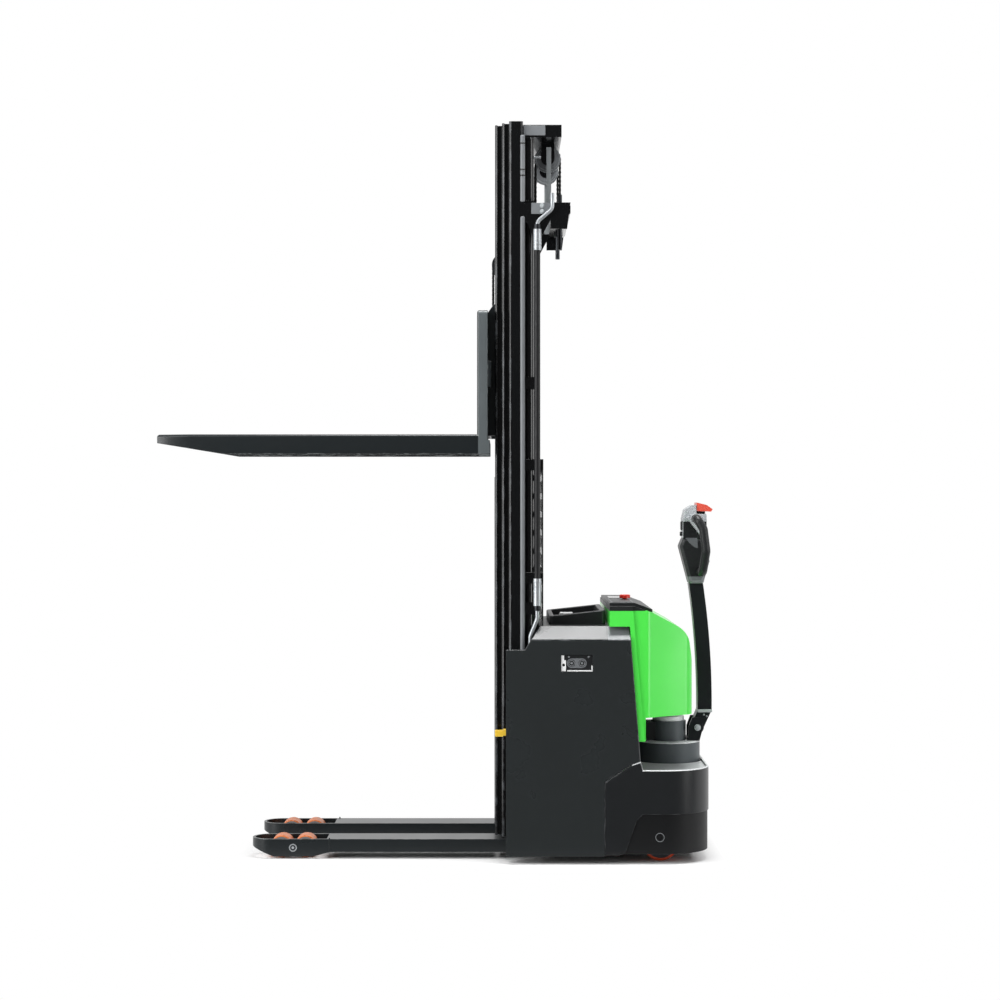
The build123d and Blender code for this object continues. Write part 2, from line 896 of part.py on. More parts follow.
# Leaf chain: a flat strap from its lower end, up over the sheave and down to the far end
def chain_over(x, y, z, radius, width, rear_z, front_z):
    outer = radius + chain_thickness / 2
    inner = radius - chain_thickness / 2
    ring = rod_y(x, z, y - width / 2, y + width / 2, outer) - rod_y(
        x, z, y - width / 2, y + width / 2, inner,
    )
    bow = ring & block(x - outer, x + outer, y - width / 2, y + width / 2, z, z + outer)
    near = block(x + inner, x + outer, y - width / 2, y + width / 2, rear_z, z)
    far = block(x - outer, x - inner, y - width / 2, y + width / 2, front_z, z)
    return bow + near + far


save("lift_chains", *[
    chain_over(
        sheave_x, side * sheave_y, sheave_z, chain_radius, chain_width,
        anchor_rod_top_z, lug_bottom_z + tie_height,
    )
    for side in (-1, 1)
])
save("free_lift_chains", *[
    chain_over(
        free_sheave_x, side * free_sheave_y, free_sheave_z, free_chain_radius, free_chain_width,
        free_cylinder_top_z, carriage_top_z,
    )
    for side in (-1, 1)
])


# Lift carriage: two side arms, cross bars and the chain lugs
carriage_arm_outer_y = inner_inner_y - carriage_side_gap
carriage_arm_rear_x = inner_front_x + rail_depth - rail_flange - pad_gap
bar_rear_x = shank_rear_x + carriage_plate
free_chain_front_x = free_sheave_x - free_chain_radius


def carriage():
    frame = block(
        shank_rear_x, bar_rear_x, -fork_span / 2, fork_span / 2, carriage_bar_bottom_z, carriage_bar_top_z,
    )
    frame += block(
        shank_rear_x, bar_rear_x, -carriage_arm_outer_y, carriage_arm_outer_y,
        carriage_top_z - tie_height * 4, carriage_top_z - chain_lug_height,
    )
    frame += block(
        shank_rear_x, bar_rear_x, -carriage_arm_outer_y, carriage_arm_outer_y,
        carriage_bottom_z, carriage_bottom_z + tie_height * 3,
    )
    for side in (-1, 1):
        arm = side_plate(
            [
                (shank_rear_x, carriage_bottom_z), (carriage_arm_rear_x, carriage_bottom_z),
                (carriage_arm_rear_x, carriage_top_z), (bar_rear_x + rail_flange, carriage_top_z),
                (shank_rear_x, carriage_top_z - chain_lug_height),
            ],
            min(side * carriage_arm_outer_y, side * (carriage_arm_outer_y - carriage_arm)),
            max(side * carriage_arm_outer_y, side * (carriage_arm_outer_y - carriage_arm)),
        )
        lug = block(
            bar_rear_x, free_chain_front_x + chain_thickness / 2,
            side * free_sheave_y - free_chain_width / 2,
            side * free_sheave_y + free_chain_width / 2,
            carriage_top_z - chain_lug_height * 2, carriage_top_z,
        )
        frame = frame + arm + lug
    return frame


save("lift_carriage", carriage())
carriage_pads = []
for z in (carriage_bottom_z + tie_height, carriage_top_z - pad_length - tie_height):
    carriage_pads += pads(
        carriage_arm_outer_y, inner_outer_y - rail_width / 2 - rail_web / 2 - pad_gap, inner_front_x, z,
    )
save("carriage_slide_pads", *carriage_pads)


# Fork: a folded channel, open below, with a tapered tip and an upright shank
def fork(side):
    y0 = side * fork_y
    half = fork_width / 2
    tail_x = bar_rear_x - fork_tail / 2
    profile = [
        (fork_tip_x, fork_top_z - fork_tip_depth), (fork_tip_x + fork_under_taper, fork_bottom_z),
        (tail_x, fork_bottom_z), (tail_x, fork_top_z), (fork_tip_x, fork_top_z),
    ]

    def plan(inset):
        tip_half = fork_tip_width / 2 - inset
        return [
            (fork_tip_x + inset, y0 - tip_half), (fork_tip_x + fork_tip_taper, y0 - half + inset),
            (tail_x + inset, y0 - half + inset), (tail_x + inset, y0 + half - inset),
            (fork_tip_x + fork_tip_taper, y0 + half - inset), (fork_tip_x + inset, y0 + tip_half),
        ]

    blade = side_plate(profile, y0 - half, y0 + half) & plan_plate(plan(0), fork_bottom_z, fork_top_z)
    blade = fillet(blade.faces().sort_by(Axis.Z)[-1].edges(), fork_edge_round)
    blade -= plan_plate(plan(fork_plate), fork_bottom_z - fork_plate, fork_top_z - fork_plate)
    blade -= block(
        shank_rear_x, tail_x, y0 - half, y0 + half, fork_top_z - fork_edge_round * 2, fork_top_z,
    )
    shank = block(
        fork_heel_x, shank_rear_x, y0 - half, y0 + half,
        fork_top_z - fork_edge_round * 2, fork_top_z + shank_height,
    )
    shank = fillet(shank.edges().filter_by(Axis.X).group_by(Axis.Z)[-1], shank_round)
    shank = fillet(shank.faces().sort_by(Axis.X)[0].edges().filter_by(Axis.Z), fork_plate)
    shank -= plan_plate(plan(fork_plate), fork_bottom_z, fork_top_z - fork_plate)
    return blade + shank


for side, word in sides:
    save(f"fork_{word}", fork(side))


# Rear skirt outline: a box with two large round corners at its rear
def skirt_solid(inset, low, high):
    outline = block(
        seam_x + seam_gap, skirt_rear_x - inset, -body_half_width + inset,
        body_half_width - inset, low, high,
    )
    corners = outline.edges().filter_by(Axis.Z).sort_by(Axis.X)[-2:]
    return fillet(corners, skirt_corner_radius - inset)


# Chassis: foot beam, side plates, battery shelf, bulkhead and the plate that carries the drive and castors
frame_outer_y = mast_outer_half_width + frame_plate
floor_plate_top_z = cross_beam_top_z + frame_plate
deck_bottom_z = panel_top_z - deck_plate
bulkhead_rear_x = bulkhead_x + frame_plate
caster_stem_top_z = caster_plate_top_z + caster_stem_length


def chassis_frame():
    half = mast_outer_half_width
    frame = block(
        cross_beam_front_x, cross_beam_front_x + cross_beam_depth,
        -half, half, outer_bottom_z, cross_beam_top_z,
    )
    frame += block(cross_beam_front_x, bulkhead_x, -half, half, cross_beam_top_z, floor_plate_top_z)
    frame += block(
        cross_beam_front_x, bulkhead_x, -half, half, battery_bottom_z - frame_plate, battery_bottom_z,
    )
    frame += block(
        bulkhead_x, bulkhead_rear_x, -deck_half_width, deck_half_width, outer_bottom_z, deck_bottom_z,
    )
    for side in (-1, 1):
        y_in = side * half
        y_out = side * frame_outer_y
        frame += block(outer_front_x, cross_beam_front_x, y_in, y_out, outer_bottom_z, sill_top_z)
        frame += block(cross_beam_front_x, bulkhead_rear_x, y_in, y_out, outer_bottom_z, battery_bottom_z)
        frame += block(
            bulkhead_x, bulkhead_rear_x, side * deck_half_width, y_in, outer_bottom_z, battery_bottom_z,
        )
        frame += block(
            cross_beam_front_x, cross_beam_front_x + frame_plate, side * (deck_half_width - post_width),
            side * deck_half_width, battery_bottom_z, deck_bottom_z,
        )
    plate = skirt_solid(skirt_wall + skirt_plate_gap, drive_plate_bottom_z, drive_plate_top_z)
    plate &= block(
        bulkhead_rear_x, skirt_rear_x, -body_half_width, body_half_width,
        drive_plate_bottom_z, drive_plate_top_z,
    )
    frame += plate - rod_z(steer_x, 0, drive_plate_bottom_z, drive_plate_top_z, slew_hole_radius)
    for side in (-1, 1):
        y0 = side * caster_y
        mount = block(
            caster_swivel_x - caster_mount_half, caster_swivel_x + caster_mount_half,
            y0 - caster_mount_half, y0 + caster_mount_half,
            caster_plate_top_z + swivel_gap, drive_plate_bottom_z,
        )
        mount -= rod_z(
            caster_swivel_x, y0, caster_plate_top_z, caster_stem_top_z + swivel_gap,
            caster_stem_radius + running_gap / 2,
        )
        frame += mount
    return frame


save("chassis_frame", chassis_frame())


# Side panels: an upright wall that leans in over a bevel to a short lip along the deck
panel_inner_y = body_half_width - panel_wall
panel_knee = (panel_rear_low_x - panel_knee_run, panel_rear_low_z - panel_knee_drop)


def side_panel(side):
    bevel_y = body_half_width - panel_bevel_inset
    section = [
        (body_half_width, body_bottom_z), (body_half_width, panel_shoulder_z), (bevel_y, panel_top_z),
        (deck_half_width, panel_top_z), (deck_half_width, deck_bottom_z),
        (bevel_y - panel_bevel_shift, deck_bottom_z), (panel_inner_y, panel_shoulder_z - panel_bevel_shift),
        (panel_inner_y, body_bottom_z),
    ]
    wall = make_face(Polyline(*[(body_front_x, side * y, z) for y, z in section], close=True))
    wall = extrude(wall, amount=panel_rear_low_x - body_front_x, dir=(1, 0, 0))
    outline = [
        (body_front_x, body_bottom_z), (body_front_x, panel_notch_z), (panel_notch_x, panel_notch_z),
        (panel_notch_x + panel_notch_run, panel_shoulder_z), (panel_step_x, panel_top_z),
        (panel_rear_top_x, panel_top_z), (panel_rear_low_x, panel_rear_low_z), panel_knee, (seam_x, seam_z),
        (seam_x, body_bottom_z),
    ]
    return wall & side_plate(outline, -body_half_width, body_half_width)


window = block(window_left_x, window_right_x, -body_half_width, 0, window_bottom_z, window_top_z)
save("side_panel_left", side_panel(-1) - window)
save("side_panel_right", side_panel(1))
save(
    "top_deck",
    block(panel_step_x, panel_rear_top_x, -deck_half_width, deck_half_width, deck_bottom_z, panel_top_z),
)


# Charging socket behind the window in the left panel, with two contact wells
def charge_socket():
    mid_x = (window_left_x + window_right_x) / 2
    mid_z = (window_bottom_z + window_top_z) / 2
    socket = block(
        window_left_x - socket_rim, window_right_x + socket_rim,
        -panel_inner_y, -panel_inner_y + socket_depth,
        window_bottom_z - socket_rim, window_top_z + socket_rim,
    )
    for end in (-1, 1):
        socket -= rod_y(
            mid_x + end * well_pitch / 2, mid_z, -panel_inner_y, -panel_inner_y + well_depth, well_radius,
        )
    return socket


save("charge_socket", charge_socket())


# Storage tray on the deck: a box with a sloping rim and a deep pocket
def storage_tray():
    outline = [
        (tray_front_x, panel_top_z), (tray_rear_x, panel_top_z), (tray_rear_x, tray_rear_top_z),
        (tray_front_x, tray_front_top_z),
    ]
    tray = side_plate(outline, -tray_half_width, tray_half_width)
    tray = chamfer(tray.edges().filter_by(Axis.Z), tray_corner)
    return tray - block(
        tray_front_x + tray_rim, tray_rear_x - tray_rim,
        -tray_half_width + tray_rim, tray_half_width - tray_rim,
        panel_top_z + tray_floor, tray_rear_top_z,
    )


save("storage_tray", storage_tray())


# Rear hood: a shell drawn by its side profile and its plan, hollowed at the rear where the tiller swings
def hood_crown(wall):
    return [
        (hood_front_x + wall, hood_top_z - wall), (hood_front_x + hood_flat_length, hood_top_z - wall),
        (hood_crest_x - wall / 2, hood_crest_z - wall), (hood_brow_x - wall, hood_brow_z - wall),
        (hood_knee_x - wall, hood_knee_z - wall / 2), (hood_rear_x - wall, hood_bend_z),
    ]


def hood_plan(wall):
    rear_x = hood_rear_x - wall
    recess_x = rear_x - hood_recess_depth
    recess_y = hood_recess_half_width + wall
    shoulder = hood_shoulder_half_width - wall
    flank = [
        (hood_front_x + wall, shoulder), (hood_shoulder_x, shoulder),
        (hood_waist_x, hood_waist_half_width - wall), (rear_x, hood_rear_half_width - wall),
        (rear_x, recess_y + hood_recess_slope), (recess_x, recess_y),
    ]
    mirrored = [(x, -y) for x, y in reversed(flank)]
    plan = plan_plate(flank + mirrored, 0, hood_top_z)
    rear_edges = plan.edges().filter_by(Axis.Z).sort_by(Axis.X)[-4:]
    corners = sorted(rear_edges, key=lambda edge: abs(edge.center().Y))[-2:]
    return fillet(corners, hood_corner_radius - wall)


# The crown's two rear bends, rounded, and the flanks stepped in behind a leaning edge
def hood_form(edges, wall):
    half = hood_shoulder_half_width
    form = side_plate(edges, -half, half)
    bends = [
        edge for edge in form.edges().filter_by(Axis.Y)
        if edge.center().X > hood_crest_x + wall and edge.center().Z > hood_bend_z + wall
    ]
    form = fillet(bends, hood_brow_radius - wall) & hood_plan(wall)
    for side in (-1, 1):
        low, high = sorted((side * half, side * (half - hood_step - wall)))
        form -= side_plate(
            [
                (hood_step_top_x - wall, hood_top_z), (hood_rear_x, hood_top_z),
                (hood_rear_x, hood_leg_bottom_z - hood_wall), (hood_step_low_x - wall, hood_leg_bottom_z - hood_wall),
            ],
            low, high,
        )
    return form


# The side panel's leaning rear edge, where the hood's legs lie behind it
def panel_edge_x(z):
    share = (panel_top_z - z) / (panel_top_z - panel_rear_low_z)
    return panel_rear_top_x + share * (panel_rear_low_x - panel_rear_top_x)


def rear_hood():
    skirt_edge = [
        (hood_rear_x, hood_low_z), (hood_leg_rear_x, hood_low_z - hood_low_rise),
        (hood_leg_rear_x, hood_leg_bottom_z), (panel_edge_x(hood_leg_bottom_z) - hood_lap, hood_leg_bottom_z),
        (panel_edge_x(hood_lap_top_z) - hood_lap, hood_lap_top_z),
        (panel_edge_x(hood_lap_top_z) + side_gap, hood_lap_top_z),
        (panel_rear_top_x + side_gap, panel_top_z), (hood_front_x, panel_top_z),
    ]
    open_z = hood_leg_bottom_z - hood_wall
    cavity_edge = [(hood_rear_x - hood_wall, open_z), (hood_front_x + hood_wall, open_z)]
    return hood_form(hood_crown(0) + skirt_edge, 0) - hood_form(hood_crown(hood_wall) + cavity_edge, hood_wall)


save("rear_hood", rear_hood())


# Dash panel on the hood, with the emergency stop's bore
dash_top_z = hood_top_z + dash_plate
dash_bend_x = hood_front_x + hood_flat_length
dash = side_plate(
    [
        (hood_front_x + dash_margin, hood_top_z), (hood_front_x + dash_margin, dash_top_z),
        (dash_bend_x + dash_plate / 4, dash_top_z), (hood_crest_x, hood_crest_z + dash_plate),
        (hood_crest_x, hood_crest_z), (dash_bend_x, hood_top_z),
    ],
    -dash_half_width, dash_half_width,
)
dash -= rod_z(stop_x, stop_y, hood_top_z + dash_floor, dash_top_z, stop_stem_radius + running_gap)
save("dash_panel", dash)
stop_bottom_z = dash_top_z + stop_lift
stop_stem_z = hood_top_z + dash_floor + stop_travel + side_gap
stop_button = rod_z(stop_x, stop_y, stop_bottom_z, stop_bottom_z + stop_head_height, stop_head_radius)
stop_button = fillet(stop_button.edges().sort_by(Axis.Z)[-1], stop_head_height / 3)
stop_button += rod_z(stop_x, stop_y, stop_stem_z, stop_bottom_z, stop_stem_radius)
save("emergency_stop", stop_button)


# Rear skirt: walls, top plate and a raised rim, stepped in below a low arch that runs round over the castors
def castor_arch():
    belt = skirt_solid(0, skirt_bottom_z, arch_top_z) - skirt_solid(arch_recess, skirt_bottom_z, arch_top_z)
    return belt & side_plate(
        [
            (arch_front_x, skirt_bottom_z), (arch_front_x + arch_slope, arch_top_z - arch_corner),
            (arch_front_x + arch_slope + arch_corner, arch_top_z), (skirt_rear_x, arch_top_z),
            (skirt_rear_x, skirt_bottom_z),
        ],
        -body_half_width, body_half_width,
    )


def rear_skirt():
    join_x = panel_rear_low_x + seam_gap
    shell = skirt_solid(0, skirt_bottom_z, panel_rear_low_z)
    shell &= side_plate(
        [
            (seam_x + seam_gap, skirt_bottom_z), (seam_x + seam_gap, seam_z - seam_gap),
            (panel_knee[0], panel_knee[1] - seam_gap), (join_x, panel_rear_low_z - seam_gap),
            (join_x + skirt_lip_run, skirt_top_z + skirt_rim), (skirt_rear_x, skirt_top_z + skirt_rim),
            (skirt_rear_x, skirt_bottom_z),
        ],
        -body_half_width, body_half_width,
    )
    shell -= skirt_solid(skirt_wall, skirt_bottom_z - skirt_wall, drive_plate_top_z)
    shell -= skirt_solid(skirt_wall, skirt_top_z, panel_rear_low_z)
    shell -= block(
        seam_x, join_x, -body_half_width + skirt_wall,
        body_half_width - skirt_wall, skirt_bottom_z, panel_rear_low_z,
    )
    shell -= rod_z(steer_x, 0, drive_plate_top_z, skirt_top_z, collar_radius + collar_gap)
    shell -= castor_arch()
    for side in (-1, 1):
        y_face = side * body_half_width
        shell -= rod_y(
            access_hole_x, access_hole_z, y_face - side * skirt_wall * 2, y_face, access_hole_radius,
        )
    return shell


save("rear_skirt", rear_skirt())

# Inner equipment: battery pack, pump unit and motor controller
save(
    "battery_pack",
    block(
        battery_front_x, battery_rear_x, -battery_half_width, battery_half_width,
        battery_bottom_z, battery_bottom_z + battery_height,
    ),
)
valve_face = valve_width / 2
tank = block(
    pump_x - tank_depth / 2, pump_x + tank_depth / 2, valve_face, valve_face + tank_width,
    floor_plate_top_z, floor_plate_top_z + tank_height,
)
valve = block(
    pump_x - valve_depth / 2, pump_x + valve_depth / 2, -valve_face, valve_face,
    floor_plate_top_z, floor_plate_top_z + valve_height,
)
pump_motor = rod_y(
    pump_x, floor_plate_top_z + pump_radius + swivel_gap,
    -valve_face - pump_length, -valve_face, pump_radius,
)
save("pump_unit", tank, valve, pump_motor)
save(
    "motor_controller",
    block(
        bulkhead_rear_x, bulkhead_rear_x + controller_depth, -controller_half_width, controller_half_width,
        controller_bottom_z, controller_bottom_z + controller_height,
    ),
)


# Drive: gearbox with its wheel cheeks, driven wheel, motor with brake, and the collar around them
drive_radius = drive_wheel_diameter / 2


def gearbox():
    cheek_in = drive_wheel_width / 2 + wheel_side_gap
    box = rod_z(steer_x, 0, gearbox_bottom_z, drive_plate_top_z + swivel_gap, gearbox_radius)
    box += rod_z(steer_x, 0, drive_plate_top_z + swivel_gap, skirt_top_z, slew_flange_radius)
    for side in (-1, 1):
        box += block(
            steer_x - drive_cheek_depth / 2, steer_x + drive_cheek_depth / 2, side * cheek_in,
            side * (cheek_in + drive_cheek), drive_radius - drive_cheek_depth / 2, gearbox_bottom_z,
        )
    return box + rod_y(steer_x, drive_radius, -cheek_in, cheek_in, drive_axle_radius)


# A wheel with rounded rims and a bore, turning about a line along Y
def round_wheel(x, y, radius, width, axle_radius):
    low = y - width / 2
    high = y + width / 2
    tread = rod_y(x, radius, low, high, radius)
    tread = fillet([edge for edge in tread.edges() if edge.geom_type == GeomType.CIRCLE], wheel_edge_round)
    return tread - rod_y(x, radius, low, high, axle_radius + running_gap / 2)


save("gearbox", gearbox())
save("drive_wheel", round_wheel(steer_x, 0, drive_radius, drive_wheel_width, drive_axle_radius))
motor = rod_z(steer_x, 0, skirt_top_z, motor_top_z, motor_radius)
motor += rod_z(steer_x, 0, motor_top_z, motor_top_z + brake_height, brake_radius)
save("drive_motor", motor)
collar = rod_z(steer_x, 0, skirt_top_z, collar_top_z, collar_radius)
collar = chamfer(collar.edges().sort_by(Axis.Z)[-1], collar_chamfer)
collar -= rod_z(steer_x, 0, skirt_top_z, collar_top_z - collar_wall, collar_radius - collar_wall)
collar -= rod_z(steer_x, 0, skirt_top_z, collar_top_z, motor_radius)
save("steering_collar", collar)


# Castor: swivelling fork with a stem, and its wheel
caster_radius = caster_wheel_diameter / 2


def caster_fork(side):
    y0 = side * caster_y
    prongs = rod_z(caster_swivel_x, y0, caster_plate_bottom_z, caster_plate_top_z, caster_plate_radius)
    prongs += rod_z(caster_swivel_x, y0, caster_plate_top_z, caster_stem_top_z, caster_stem_radius)
    inner = caster_wheel_width / 2 + wheel_side_gap
    for flank in (-1, 1):
        low, high = sorted((y0 + flank * inner, y0 + flank * (inner + caster_cheek)))
        prongs += side_plate(
            [
                (caster_swivel_x - caster_plate_radius / 2, caster_plate_bottom_z),
                (caster_wheel_x - caster_cheek_half, caster_radius),
                (caster_wheel_x + caster_cheek_half, caster_radius),
                (caster_swivel_x + caster_plate_radius / 2, caster_plate_bottom_z),
            ],
            low, high,
        )
        prongs += rod_y(caster_wheel_x, caster_radius, low, high, caster_cheek_half)
    return prongs + rod_y(caster_wheel_x, caster_radius, y0 - inner, y0 + inner, caster_axle_radius)


for side, word in sides:
    save(f"caster_fork_{word}", caster_fork(side))
    wheel = round_wheel(
        caster_wheel_x, side * caster_y, caster_radius, caster_wheel_width, caster_axle_radius,
    )
    save(f"caster_wheel_{word}", wheel)


# Tiller bracket on the collar: foot, two cheeks and the pivot pin
def tiller_bracket():
    foot_top_z = collar_top_z + foot_plate
    foot_rear_x = steer_x + collar_radius - foot_rear_inset
    outer = cheek_inner + cheek_plate
    bracket = block(
        steer_x + motor_radius + foot_front_gap, foot_rear_x, -outer, outer, collar_top_z, foot_top_z,
    )
    for side in (-1, 1):
        low, high = sorted((side * cheek_inner, side * outer))
        bracket += side_plate(
            [
                (cheek_front_x, collar_top_z), (foot_rear_x, collar_top_z), (cheek_rear_x, tiller_pivot_z),
                (cheek_rear_x - cheek_rear_lean, cheek_top_z),
                (cheek_front_x + cheek_front_lean, cheek_top_z),
                (cheek_front_x, tiller_pivot_z),
            ],
            low, high,
        )
    reach = outer + pivot_pin_end
    return bracket + rod_y(tiller_pivot_x, tiller_pivot_z, -reach, reach, pivot_pin_radius)


save("tiller_bracket", tiller_bracket())


# Tiller arm: a bowed box tube on a knuckle that turns on the pivot pin
def bowed_outline(inset):
    half = arm_depth / 2 - inset
    mid_z = (arm_bottom_z + arm_top_z) / 2
    mid_x = (arm_bottom_x + arm_top_x) / 2 + arm_bow
    points = [(arm_bottom_x, arm_bottom_z), (mid_x, mid_z), (arm_top_x, arm_top_z)]
    front = [(x - half, 0, z) for x, z in points]
    rear = [(x + half, 0, z) for x, z in points]
    edges = ThreePointArc(*front) + ThreePointArc(*rear)
    edges += Line(front[0], rear[0]) + Line(front[2], rear[2])
    return make_face(edges)


def tiller_arm():
    half = cheek_inner - knuckle_gap
    arm = extrude(bowed_outline(0), amount=arm_half_width, both=True, dir=(0, 1, 0))
    arm -= extrude(bowed_outline(arm_wall), amount=arm_half_width - arm_wall, both=True, dir=(0, 1, 0))
    knuckle = side_plate(
        [
            (tiller_pivot_x - knuckle_radius, tiller_pivot_z), (arm_bottom_x - arm_depth / 2, arm_bottom_z),
            (arm_bottom_x + arm_depth / 2, arm_bottom_z), (tiller_pivot_x + knuckle_radius, tiller_pivot_z),
        ],
        -half, half,
    )
    knuckle += rod_y(tiller_pivot_x, tiller_pivot_z, -half, half, knuckle_radius)
    knuckle -= rod_y(tiller_pivot_x, tiller_pivot_z, -half, half, pivot_pin_radius + running_gap / 2)
    return arm + knuckle


save("tiller_arm", tiller_arm())


# Tiller head: lower shell, console above it, loop handles at both sides
def tiller_head():
    shell = side_plate(
        [
            (arm_top_x - arm_depth / 2, arm_top_z), (arm_top_x + arm_depth / 2, arm_top_z),
            (head_rear_x, head_swell_z), (console_rear_x, head_shell_top_z),
            (console_front_x, head_shell_top_z),
            (head_front_x, head_chin_z), (head_neck_x, head_neck_z),
        ],
        -head_half_width, head_half_width,
    )
    flanks = shell.faces().sort_by(Axis.Y)
    return chamfer(flanks[0].edges() + flanks[-1].edges(), head_chamfer)


save("tiller_head", tiller_head())
belly_bottom_z = belly_seat_z + belly_gap
belly_stem_x = (belly_front_x + console_rear_x) / 2
rocker_axis_x = console_front_x + rocker_switch_inset
rocker_pin_half = rocker_switch_half_width + rocker_pivot_end


def head_console():
    step_x = belly_front_x - console_step_gap
    console = side_plate(
        [
            (console_front_x, head_shell_top_z), (console_rear_x, head_shell_top_z),
            (console_rear_x, belly_seat_z),
            (step_x, belly_seat_z), (step_x, console_top_z), (step_x - console_crown_run, console_top_z),
            (console_front_x + console_brow_run, console_top_z - console_brow_drop),
            (console_front_x, console_top_z - console_face_drop),
        ],
        -head_half_width, head_half_width,
    )
    console -= rod_y(
        grip_x, grip_z, -head_half_width, head_half_width, throttle_shaft_radius + running_gap / 2,
    )
    console -= rod_z(
        belly_stem_x, 0, belly_seat_z - belly_bore_depth, belly_seat_z, belly_stem_radius + running_gap,
    )
    pocket_half = rocker_switch_half_height + rocker_switch_room
    console -= block(
        console_front_x, console_front_x + rocker_pocket_depth, -rocker_switch_half_width - side_gap,
        rocker_switch_half_width + side_gap, rocker_switch_z - pocket_half, rocker_switch_z + pocket_half,
    )
    console -= rod_y(
        rocker_axis_x, rocker_switch_z, -rocker_pin_half, rocker_pin_half,
        rocker_pivot_radius + running_gap / 2,
    )
    return console - rod_x(
        0, horn_z, console_front_x, console_front_x + horn_bore_depth, horn_radius + horn_gap,
    )


save("head_console", head_console())
loops = []
for side in (-1, 1):
    points = [
        (loop_root_x, side * head_half_width, loop_root_z), (loop_root_x, side * loop_root_y, loop_root_z),
        (loop_rear_x, side * loop_side_y, loop_rear_z), (loop_root_x, side * loop_side_y, loop_top_z),
        (grip_x, side * grip_outer_y, grip_z), (grip_x, side * grip_inner_y, grip_z),
    ]
    loops.append(tube_along(points, loop_bends, grip_radius))
save("handle_loops", *loops)


# Thumb throttle: one shaft through the console with a hub and a paddle at each side
def throttle():
    reach = grip_inner_y - throttle_gap
    hub_in = head_half_width + throttle_gap
    shaft = rod_y(grip_x, grip_z, -reach, reach, throttle_shaft_radius)
    along = (paddle_down - paddle_up) / 2
    for side in (-1, 1):
        shaft += rod_y(grip_x, grip_z, side * hub_in, side * reach, throttle_hub_radius)
        paddle = Pos(along, 0, -throttle_hub_radius) * Box(
            paddle_up + paddle_down, reach - hub_in, paddle_thickness,
        )
        shaft += Pos(grip_x, side * (hub_in + reach) / 2, grip_z) * Rot(0, paddle_turn, 0) * paddle
    return shaft


save("throttle", throttle())

# Safety button at the end of the head, rocker switch and horn button on its front
belly = side_plate(
    [
        (belly_front_x, belly_bottom_z), (belly_rear_x - belly_lip, belly_bottom_z - belly_droop),
        (belly_rear_x, belly_bottom_z + belly_lip),
        (belly_rear_x - belly_nose_run, belly_bottom_z + belly_nose_height),
        (belly_front_x, belly_bottom_z + belly_height),
    ],
    -belly_half_width, belly_half_width,
)
belly += rod_z(
    belly_stem_x, 0, belly_seat_z - belly_stem_depth, belly_bottom_z + side_gap, belly_stem_radius,
)
save("belly_button", belly)
lift_rocker = block(
    console_front_x - rocker_switch_proud, rocker_axis_x + side_gap,
    -rocker_switch_half_width, rocker_switch_half_width,
    rocker_switch_z - rocker_switch_half_height, rocker_switch_z + rocker_switch_half_height,
)
lift_rocker += rod_y(rocker_axis_x, rocker_switch_z, -rocker_pin_half, rocker_pin_half, rocker_pivot_radius)
save("lift_rocker", lift_rocker)
horn_front_x = console_front_x - horn_proud
save("horn_button", rod_x(0, horn_z, horn_front_x, horn_front_x + horn_length, horn_radius))


# Hose on the left of the mast, with crimped ends and bent steel pipes
def low_fitting():
    crimp_z = hose_bottom_z - fitting_length
    bend_z = crimp_z - pipe_low_straight
    pipe = [
        (hose_x, hose_y, crimp_z), (hose_x, hose_y, bend_z), (pipe_low_x, hose_y, bend_z - pipe_low_slope),
        (pipe_low_x, hose_y, sill_top_z),
    ]
    crimp = rod_z(hose_x, hose_y, crimp_z, hose_bottom_z, fitting_radius)
    return crimp + tube_along(pipe, (pipe_low_bend, pipe_low_bend), pipe_radius)


def high_fitting():
    crimp_z = hose_top_z + top_fitting_length
    bend_z = crimp_z + pipe_high_straight
    turn_z = bend_z + pipe_high_slope
    pipe = [
        (hose_x, hose_y, crimp_z), (hose_x, hose_y, bend_z), (pipe_high_x, hose_y, turn_z),
        (pipe_high_x, hose_y, turn_z + pipe_high_end),
    ]
    crimp = rod_z(hose_x, hose_y, hose_top_z, crimp_z, fitting_radius)
    crimp += tube_along(pipe, (pipe_high_bend, pipe_high_bend), pipe_radius)
    return crimp + block(
        hose_x - fitting_radius, hose_x + fitting_radius, hose_y, -mast_outer_half_width,
        hose_top_z + clip_offset, hose_top_z + clip_offset + clip_height,
    )


save("lift_hose", rod_z(hose_x, hose_y, hose_bottom_z, hose_top_z, hose_radius))
save("hose_fittings", low_fitting(), high_fitting())


# Rear guard: a slotted plate behind the chains, held by two tabs on each rail
def rear_guard():
    guard_rear_x = guard_x + guard_plate
    guard = block(guard_x, guard_rear_x, -guard_half_width, guard_half_width, guard_bottom_z, guard_top_z)
    pitch_y = guard_half_width * 2 / guard_slot_columns
    pitch_z = (guard_top_z - guard_bottom_z) / guard_slot_rows
    slot_y = (pitch_y - guard_bar_width) / 2
    slot_z = (pitch_z - guard_bar_height) / 2
    for row in range(guard_slot_rows):
        for column in range(guard_slot_columns):
            y = (column + 0.5) * pitch_y - guard_half_width
            z = (row + 0.5) * pitch_z + guard_bottom_z
            guard -= block(guard_x, guard_rear_x, y - slot_y, y + slot_y, z - slot_z, z + slot_z)
    for side in (-1, 1):
        for z in (guard_bottom_z + guard_tab_rise, guard_top_z - guard_tab_height):
            guard += block(
                outer_rear_x, guard_rear_x, side * guard_half_width,
                side * bracket_inner_y, z, z + guard_tab_height,
            )
    return guard


save("rear_guard", rear_guard())

